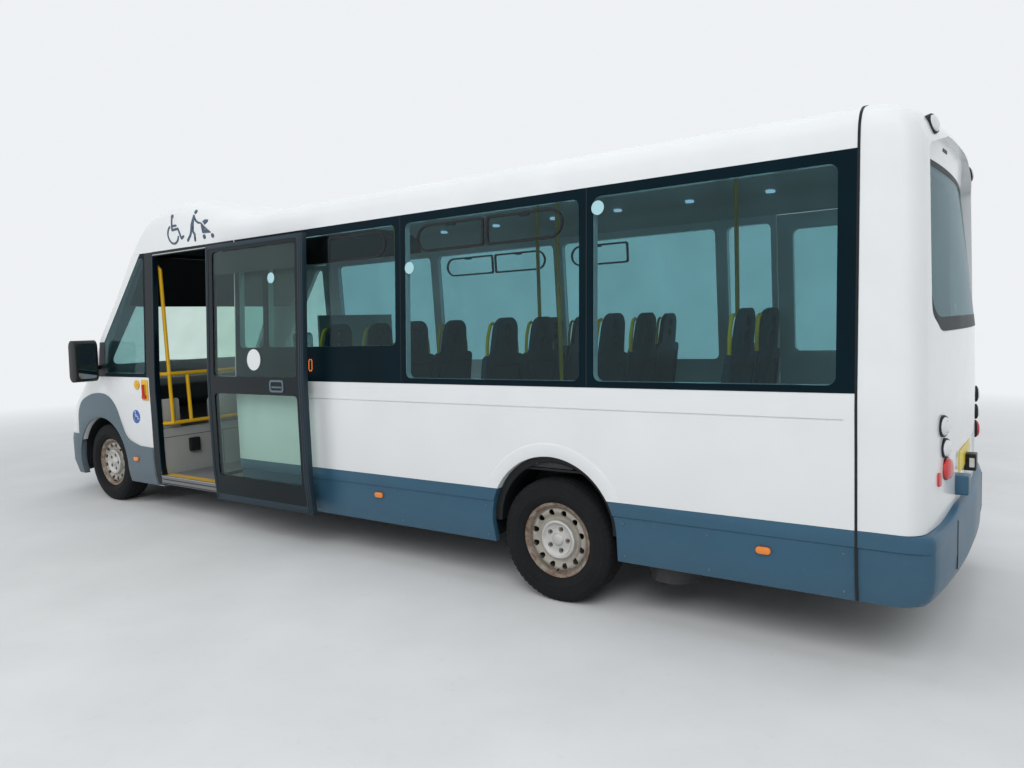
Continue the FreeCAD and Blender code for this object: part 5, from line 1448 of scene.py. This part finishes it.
def driver_seat():
    """Driver's seat: stuffed squab and back with bolsters, headrest on two stalks."""

    def on_squab(u, v, w):
        return (1.260 + u, driver_seat_y + v, 0.850 - w)

    def on_driver_back(u, v, w):
        return (1.500 + (v + 0.29) * 0.24 + w, driver_seat_y + u, 1.190 + v)

    def on_head(u, v, w):
        return (1.630 + (v + 0.08) * 0.16 + w, driver_seat_y + u, 1.580 + v)

    for name, shape in (
            ("driver_squab", pad_surface(0.235, 0.250, 0.045, 0.012, (-0.55, 0.55), on_squab, 28)),
            ("driver_back_pad", pad_surface(0.240, 0.285, 0.050, 0.014, (-0.62, -0.2, 0.2, 0.62),
                                            on_driver_back, 28)),
            ("driver_head_pad", pad_surface(0.130, 0.078, 0.030, 0.012, (), on_head, 20))):
        pad = solid(name, shape)
        dressed(pad, seat_fabric, slot="seat_fabric", sharp=45)
    shells = [prism(rounded([(1.030, 0.795, 0.03), (1.500, 0.795, 0.03), (1.500, 0.852, 0.015),
                             (1.030, 0.852, 0.015)]),
                    across, 0.235, 0.725),
              prism(window(-0.235, 0.235, -0.285, 0.285, 0.06), on_driver_back, 0.002, 0.050),
              prism(window(-0.120, 0.120, -0.072, 0.072, 0.04), on_head, 0.002, 0.035)]
    made("driver_seat_shell", joined(shells), dark_plastic, stands_for=("driver_seat",), bevel=0.006)
    stalks = [tube([(1.600, y, 1.440), (1.640, y, 1.530)], 0.007) for y in (0.420, 0.540)]
    made("driver_head_stalks", joined(stalks), aluminium)


# Wheels

def rim_profile():
    """Disc and well of a steel wheel, outer face first: distance along the axle, radius."""
    return [(0.052, 0.0), (0.052, 0.112), (0.050, 0.124), (0.050, 0.134), (0.054, 0.142), (0.063, 0.152),
            (0.067, 0.162), (0.066, 0.172), (0.060, 0.181), (0.050, 0.188), (0.050, 0.190), (0.062, 0.194),
            (0.072, 0.198), (0.078, 0.204), (0.079, 0.211), (0.0825, 0.216), (0.0825, 0.219),
            (0.077, 0.2185), (0.070, 0.213), (0.062, 0.2045), (0.040, 0.202), (-0.040, 0.202),
            (-0.062, 0.2045), (-0.070, 0.213), (-0.077, 0.2185), (-0.0825, 0.219), (-0.0825, 0.215),
            (-0.078, 0.206), (-0.060, 0.196), (-0.020, 0.190), (0.030, 0.184), (0.044, 0.180),
            (0.056, 0.170), (0.057, 0.160), (0.050, 0.148), (0.042, 0.134), (0.040, 0.075), (0.0, 0.072),
            (0.0, 0.0)]


def cover_profile():
    return [(0.050, 0.0), (0.076, 0.0), (0.077, 0.026), (0.074, 0.033), (0.066, 0.038), (0.0645, 0.050),
            (0.065, 0.084), (0.070, 0.092), (0.076, 0.098), (0.077, 0.106), (0.073, 0.113), (0.064, 0.117),
            (0.050, 0.117)]


def tyre_shape(side):
    """Tyre with ribbed sidewalls, four grooves round the tread and cut shoulders."""
    wall_half = [(0.2180, 0.0700), (0.2230, 0.0840), (0.2300, 0.0920), (0.2450, 0.1030), (0.2620, 0.1100),
                 (0.2660, 0.1122), (0.2690, 0.1122), (0.2720, 0.1112), (0.2900, 0.1120), (0.2940, 0.1125),
                 (0.2980, 0.1108), (0.3180, 0.1078), (0.3215, 0.1085), (0.3250, 0.1060), (0.3370, 0.1010)]
    shoulder = [(0.3470, 0.0955), (0.3540, 0.0890), (0.3585, 0.0800)]
    tread = [(0.3595, 0.0640), (0.3530, 0.0620), (0.3530, 0.0560), (0.3598, 0.0540), (0.3600, 0.0260),
             (0.3535, 0.0240), (0.3535, 0.0180), (0.3600, 0.0160)]
    half = [(r, y, 0) for r, y in wall_half] + [(r, y, 1) for r, y in shoulder]
    half += [(r, y, 0) for r, y in tread]
    section = half + [(r, -y, cut) for r, y, cut in reversed(half)]
    steps = 240
    sections = []
    for k in range(steps):
        angle = math.tau * k / steps
        radii = [(r - (0.005 if cut and k % 4 == 0 else 0), y) for r, y, cut in section]
        sections.append([(r * math.cos(angle), y * side, r * math.sin(angle)) for r, y in radii])
    return swept(sections, closed=True)


def wheel_look():
    """The rim's steel with rust that gathers in clouds toward the flange."""
    look = wheel_steel
    nodes, links = nodes_of(look)
    shader = nodes["Principled BSDF"]
    place = nodes.new("ShaderNodeTexCoord").outputs["Object"]
    flat = nodes.new("ShaderNodeVectorMath")
    flat.operation = "MULTIPLY"
    flat.inputs[1].default_value = (1, 0, 1)
    links.new(place, flat.inputs[0])
    reach = nodes.new("ShaderNodeVectorMath")
    reach.operation = "LENGTH"
    links.new(flat.outputs["Vector"], reach.inputs[0])
    edge = ranged(nodes, links, reach.outputs["Value"], 0.184, 0.200, 0, 1)
    cloud = ranged(nodes, links, noise(nodes, links, place, 22.0, 8.0, 0.7), 0.38, 0.60, 0.15, 0.95)
    worn = shader.inputs["Base Color"].links[0].from_socket
    rusty = mixed(nodes, links, product(nodes, links, edge, cloud), worn, (0.16, 0.075, 0.04))
    links.new(rusty, shader.inputs["Base Color"])


def wheels():
    wheel_look()
    # Columns: name, station, height, side
    rows = [("front_left", front_wheel_x, front_wheel_z, -1),
            ("front_right", front_wheel_x, front_wheel_z, 1), ("rear_left", wheel_base, tyre_radius, -1),
            ("rear_right", wheel_base, tyre_radius, 1)]
    for name, x, z, side in rows:
        body = f"wheel_{name}"
        spot = Matrix.Translation(to_ground @ Vector((x, side * wheel_centre_y, z)))
        rim = solid(f"wheel_disc_{name}",
                    lathe([(w * side, r) for w, r in rim_profile()], (0, 0, 0), "y", 96))
        vents = []
        for k in range(12):
            angle = math.tau * (k + 0.5) / 12
            vents.append(prism(ring(0.160 * math.sin(angle), 0.160 * math.cos(angle), 0.0185, 20), across,
                               *sorted((0.030 * side, 0.090 * side))))
        carved(rim, vents)
        placed(rim, spot, wheel_steel, body, "wheel_steel", (f"rim_{name}",), 35)
        cover = solid(f"wheel_cover_{name}",
                      lathe([(w * side, r) for w, r in cover_profile()], (0, 0, 0), "y", 64))
        pockets = []
        nuts = []
        for k in range(5):
            angle = math.tau * (k + 0.25) / 5
            u, v = 0.065 * math.sin(angle), 0.065 * math.cos(angle)
            pockets.append(prism(ring(u, v, 0.0165, 20), across, *sorted((0.054 * side, 0.090 * side))))
            nuts.append(prism(ring(u, v, 0.0105, 6), across, *sorted((0.050 * side, 0.061 * side))))
        carved(cover, pockets)
        placed(cover, spot, hub_silver, body, "wheel_steel", (), 35)
        placed(solid(f"wheel_nuts_{name}", joined(nuts)), spot, axle_iron, body)
        tyre = solid(f"tyre_{name}_tread", tyre_shape(side))
        placed(tyre, spot, tyre_rubber, body, "tyre_rubber", (f"tyre_{name}",), 28)
        valve = tube([(0.0, 0.062 * side, -0.176), (0.0, 0.082 * side, -0.180)], 0.0045, 10)
        placed(solid(f"valve_{name}", valve), spot, rubber, body)


# Cab and front

def cab():
    smooth_copy("cab_shell", white_paint, "cab_panels", slot="white_paint", bevel=0.004)
    smooth_copy("front_bumper", grey_plastic, "front_bumper_moulding", slot="grey_plastic", bevel=0.006)
    smooth_copy("driver_door", white_paint, "driver_door_panel", "driver_door", "white_paint", bevel=0.003)
    smooth_copy("emergency_door", white_paint, "emergency_door_panel", "emergency_door", "white_paint",
                bevel=0.003)
    smooth_copy("grille", dark_plastic, "grille_inserts", slot="dark_plastic", bevel=0.002)
    smooth_copy("mirror_left", dark_plastic, "mirror_case_left", slot="dark_plastic", bevel=0.018, sharp=40)
    smooth_copy("mirror_right", dark_plastic, "mirror_case_right", "driver_door", "dark_plastic",
                bevel=0.018, sharp=40)
    smooth_copy("steering_wheel", dark_plastic, "steering_wheel_rim", "steering_wheel", "dark_plastic")
    smooth_copy("dashboard", dark_plastic, "dashboard_moulding", slot="dark_plastic", bevel=0.008)
    smooth_copy("marker_lamps", lamp_amber, "marker_lenses", slot="lamp_amber", bevel=0.004)
    smooth_copy("handrails", rail_yellow, "yellow_rails", slot="rail_yellow", sharp=40)


def front_borders():
    """Black printed borders of the windscreen, the display pane, the quarter pane and the driver's window."""
    front = solid("screen_border", nose_skin(1.262, 2.325, -0.0010, -0.0003, back=2.2))
    trimmed(front, screen_outline(0), along, ahead_x, 0.9, "INTERSECT")
    trimmed(front, screen_outline(-0.060), along, ahead_x, 0.9)
    dressed(front, black_print, slot="clear_glass")
    rows = roof_ring(cantrail_row + 0.05)
    places = [("nose", p) for p in spread(0, 1, 10)]
    display = solid("display_border", thick_grid(rows, places, -0.0010, -0.0003), halves=True)
    trimmed(display, display_opening, along, ahead_x, behind_dome_face_x, "INTERSECT")
    trimmed(display, window(-0.600, 0.600, 2.420, 2.560, 0.020), along, ahead_x, behind_dome_face_x)
    dressed(display, black_print, slot="clear_glass")
    blank = solid("display_blank", prism(window(-0.780, 0.780, 2.345, 2.600, 0.020), along, 0.705, 0.715))
    dressed(blank, dark_plastic)
    quarter = solid("quarter_border", nose_skin(1.256, 2.329, -0.0009, -0.0003))
    trimmed(quarter, quarter_pane, across, *side_range(-1), "INTERSECT")
    trimmed(quarter, rounded(quarter_window), across, *side_range(-1))
    dressed(quarter, black_print, slot="tinted_glass")
    driver = solid("driver_window_border", nose_skin(1.256, 2.300, -0.0009, -0.0003))
    around = [(0.085, 1.265, 0.040), (0.785, 1.265, 0.040), (0.785, 2.280, 0.040), (0.648, 2.280, 0.040),
              (0.094, 1.568, 0.050)]
    trimmed(driver, rounded(around), across, *side_range(1), "INTERSECT")
    trimmed(driver, rounded(driver_window), across, *side_range(1))
    dressed(driver, black_print, "driver_door", "clear_glass")


def display_housing():
    """Dark box behind the top of the windscreen that carries the blank destination display."""
    outline = rounded([(0.150, 1.905, 0.020), (0.360, 1.885, 0.030), (0.640, 2.320, 0.010),
                       (0.510, 2.320, 0.010)])
    made("display_housing", prism(outline, across, -0.850, 0.850), dark_plastic, bevel=0.003)


def mirror_glass():
    for side, body in ((-1, "body"), (1, "driver_door")):
        name = "left" if side < 0 else "right"
        y0, y1 = sorted((side * 1.170, side * 1.332))
        face = rounded([(y0, 1.250, 0.03), (y1, 1.250, 0.03), (y1, 1.565, 0.03), (y0, 1.565, 0.03)])
        glassy = solid(f"mirror_glass_{name}",
                       prism(face, lambda u, v, w: (0.121 + (v - 1.25) * 0.027 + w, u, v), 0, 0.0065))
        # The glass's dark metal is a painted reflection of dark surroundings, not a bright mirror
        dressed(glassy, mirror_painted_dark_reflection, body)
        strip = prism(rounded([(y0, 1.500, 0.01), (y1, 1.500, 0.01), (y1, 1.540, 0.01), (y0, 1.540, 0.01)]),
                      along, -0.006, 0.004)
        made(f"mirror_indicator_{name}", strip, lamp_clear, body)


def headlamps():
    """Reflector bowls and bulbs behind each clear lens."""
    for side, name in sides:
        shapes = []
        for y, radius in ((0.690, 0.062), (0.850, 0.070)):
            bowl = [(0.060, 0.0), (0.058, radius * 0.35), (0.040, radius * 0.75), (0.010, radius),
                    (0.006, radius * 1.05), (0.014, radius * 1.06), (0.066, radius * 0.4), (0.068, 0.0)]
            shapes.append(lathe(bowl, (-0.760 + 0.11 * (y - 0.69), side * y, 0.850), "x", 32))
            shapes.append(lathe([(0.010, 0.0), (0.014, 0.014), (0.055, 0.014), (0.058, 0.0)],
                                (-0.760 + 0.11 * (y - 0.69), side * y, 0.850), "x", 16))
        made(f"headlamp_bowls_{name}", joined(shapes), lamp_clear)


def wipers():
    """Two arms and blades parked along the foot of the windscreen."""
    shapes = []
    for y0, y1 in ((-0.080, -0.760), (0.640, -0.020)):
        arm = [nose_point(y0 + (y1 - y0) * t, level_at(1.285 + 0.045 * t), -0.016) for t in spread(0, 1, 8)]
        shapes.append(tube(arm, 0.007, 8))
        blade = [nose_point(y1 + (y0 - y1) * t, level_at(1.348 - 0.025 * t), -0.007)
                 for t in spread(-0.12, 0.75, 10)]
        shapes.append(tube(blade, 0.006, 8))
    made("wipers", joined(shapes), dark_plastic)


def nose_point(y, level, inset):
    """Point of the nose at a place across, found by halving the span of the bow."""
    side = -1 if y < 0 else 1
    low = 0.0
    high = 2.0
    for _ in range(halvings):
        place = (low + high) / 2
        if hull_point(level, ("nose", place), 1, inset)[1] < abs(y):
            low = place
        else:
            high = place
    return hull_point(level, ("nose", place), side, inset)


def door_handles():
    lift = on_side(1)
    cup = prism(window(0.700, 0.800, 1.075, 1.145, 0.020), lift, -0.0015, -0.0003)
    bar = prism(window(0.690, 0.810, 1.112, 1.136, 0.010), lift, -0.022, -0.010)
    feet = [prism(window(x, x + 0.018, 1.114, 1.134, 0.004), lift, -0.012, 0.0) for x in (0.694, 0.788)]
    made("driver_door_pull", joined([cup, bar] + feet), dark_plastic, "driver_door", bevel=0.002)


# Saloon inside

# Row of the hull over which the ceiling's lights hang, between shoulder and crown
ceiling_light_row = 8.6


def ceiling():
    """Lining under the roof, dark over the cab and pale over the saloon, with small lights."""
    up = spread(cantrail_row, top_row, 12)
    rows = [(level, -1) for level in up] + [(top_row, s) for s in spread(-1, 1, 4)[1:-1]]
    rows += [(level, 1) for level in reversed(up)]
    pale = solid("roof_lining", thick_grid(rows, [("x", x) for x in spread(2.2, 6.54, 24)], 0.046, 0.050))
    dressed(pale, liner_plastic)
    places = [("nose", p) for p in spread(0, 2, 12)[:-1] + spread(2, 3, 3)[:-1]]
    places += [("x", x) for x in spread(dome_top_x, 2.2, 10)]
    cab_lining = solid("cab_lining", thick_grid(rows, places, 0.032, 0.035), halves=True)
    trimmed(cab_lining, display_opening, along, ahead_x, behind_dome_face_x)
    dressed(cab_lining, dark_plastic)
    lights = []
    for x in spread(2.6, 6.2, 6):
        for side in (-1, 1):
            p = hull_point(ceiling_light_row, ("x", x), side, 0.050)
            lights.append(lathe([(-0.012, 0.0), (-0.012, 0.030), (0.004, 0.034), (0.004, 0.0)], p, "z", 20))
    made("cabin_lights", joined(lights), cabin_light)


def camera():
    """The photograph's own camera: position in metres, then its turns in radians."""
    place = Vector((4.2703, -4.7311, 1.6547))
    yaw, pitch, roll = 0.6173, -0.0875, -0.0206
    ahead = Vector((-math.sin(yaw) * math.cos(pitch), math.cos(yaw) * math.cos(pitch), math.sin(pitch)))
    right = Vector((math.cos(yaw), math.sin(yaw), 0))
    up = right.cross(ahead)
    tilted_right = right * math.cos(roll) + up * math.sin(roll)
    tilted_up = up * math.cos(roll) - right * math.sin(roll)
    data = bpy.data.cameras.new("photo_camera")
    data.sensor_width = 36
    data.lens = 775 * 36 / 1024
    data.clip_end = 200
    item = linked("photo_camera", data)
    turn = Matrix((tilted_right, tilted_up, -ahead)).transposed().to_4x4()
    item.matrix_world = Matrix.Translation(place) @ turn
    bpy.context.scene.camera = item


def background_share(nodes, links):
    """1 for the rays that look at the background, straight or in metal and glass; 0 for those that light."""
    rays = nodes.new("ShaderNodeLightPath")
    seen = rays.outputs["Is Camera Ray"]
    for kind in ("Is Glossy Ray", "Is Transmission Ray"):
        either = nodes.new("ShaderNodeMath")
        either.operation = "MAXIMUM"
        links.new(seen, either.inputs[0])
        links.new(rays.outputs[kind], either.inputs[1])
        seen = either.outputs["Value"]
    return seen


def floor_look():
    """Pale concrete round the bus that turns into the plain background farther off."""
    look = surface("studio_floor", (0.74, 0.75, 0.75), 0.85, vary=0.06, patch=1.2, bump=0.05, grain=90,
                   shine=0.1, wear=(0.62, 0.63, 0.62), wear_share=0.25)
    nodes, links = nodes_of(look)
    place = nodes.new("ShaderNodeTexCoord").outputs["Object"]
    reach = nodes.new("ShaderNodeVectorMath")
    reach.operation = "LENGTH"
    links.new(place, reach.inputs[0])
    far = ranged(nodes, links, reach.outputs["Value"], 5.0, 13.0, 0, 1)
    plain = nodes.new("ShaderNodeEmission")
    plain.inputs["Color"].default_value = (*background, 1.0)
    pick = nodes.new("ShaderNodeMixShader")
    links.new(product(nodes, links, far, background_share(nodes, links)), pick.inputs["Fac"])
    links.new(nodes["Principled BSDF"].outputs["BSDF"], pick.inputs[1])
    links.new(plain.outputs["Emission"], pick.inputs[2])
    links.new(pick.outputs["Shader"], nodes["Material Output"].inputs["Surface"])
    return look


background = (0.86, 0.88, 0.90)


def studio():
    bpy.context.scene.view_settings.view_transform = "Standard"
    floor = solid("studio_floor", ([(-60, -60, 0), (60, -60, 0), (60, 60, 0), (-60, 60, 0)], [(0, 1, 2, 3)]))
    floor.data.materials.append(floor_look())
    # Columns: name, place, point aimed at, size, power
    for name, place, aim, size, power in (
            ("key", (6.0, -9.0, 8.5), (0.5, 0, 1.2), 7.0, 700),
            ("fill", (-7.0, -8.0, 6.0), (0, 0, 1.2), 7.0, 320),
            ("top", (0.0, 1.0, 9.5), (0, 0, 1.2), 9.0, 330),
            ("rear", (9.0, 6.0, 6.0), (1, 0, 1.2), 6.0, 260)):
        data = bpy.data.lights.new(name, "AREA")
        data.size = size
        data.energy = power
        lamp = linked(name, data)
        lamp.location = place
        lamp.visible_glossy = False
        lamp.rotation_euler = (Vector(aim) - Vector(place)).to_track_quat("-Z", "Y").to_euler()
    world = bpy.data.worlds.new("studio")
    bpy.context.scene.world = world
    world.use_nodes = True
    nodes = world.node_tree.nodes
    links = world.node_tree.links
    shown = nodes["Background"]
    shown.inputs["Color"].default_value = (*background, 1)
    shown.inputs["Strength"].default_value = 1.0
    lit = nodes.new("ShaderNodeBackground")
    lit.inputs["Color"].default_value = (0.75, 0.80, 0.86, 1)
    lit.inputs["Strength"].default_value = 0.34
    pick = nodes.new("ShaderNodeMixShader")
    links.new(background_share(nodes, links), pick.inputs["Fac"])
    links.new(lit.outputs["Background"], pick.inputs[1])
    links.new(shown.outputs["Background"], pick.inputs[2])
    links.new(pick.outputs["Shader"], nodes["World Output"].inputs["Surface"])


# CAD nodes that stay as they are, with their materials
carried = {
    "windscreen": clear_glass, "headlamps": lamp_glass, "side_glass": tinted_glass,
    "rear_glass": tinted_glass, "wheel_houses": dark_plastic, "floor": floor_vinyl,
    "underframe": frame_steel, "front_suspension": frame_steel, "engine": engine_iron,
    "rear_axle": axle_iron, "door_glass": clear_glass, "door_gear": frame_steel, "seat_frames": frame_steel,
    "partitions": panel_grey, "knuckle_left": axle_iron, "knuckle_right": axle_iron,
    "driver_door_glass": clear_glass, "emergency_door_glass": tinted_glass,
}


def carry_over():
    for node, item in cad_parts.items():
        item.data.materials.clear()
        item.data.materials.append(carried.get(node, dark_plastic))


carry_over()
saloon_sides()
frit(-1, "left", left_panes)
frit(1, "right", right_panes)
long_skirts()
front_lips()
rear_liners()
skirt_screws()
arch_lips()
roof()
tail()
rear_bumper()
joint_strip()
tail_lamps()
plate_group()
bonnet()
hoppers()
signs()
release_plate()
door_leaf()
door_surround()
entrance_panel()
seats()
driver_seat()
wheels()
cab()
front_borders()
display_housing()
mirror_glass()
headlamps()
wipers()
door_handles()
ceiling()
camera()
studio()
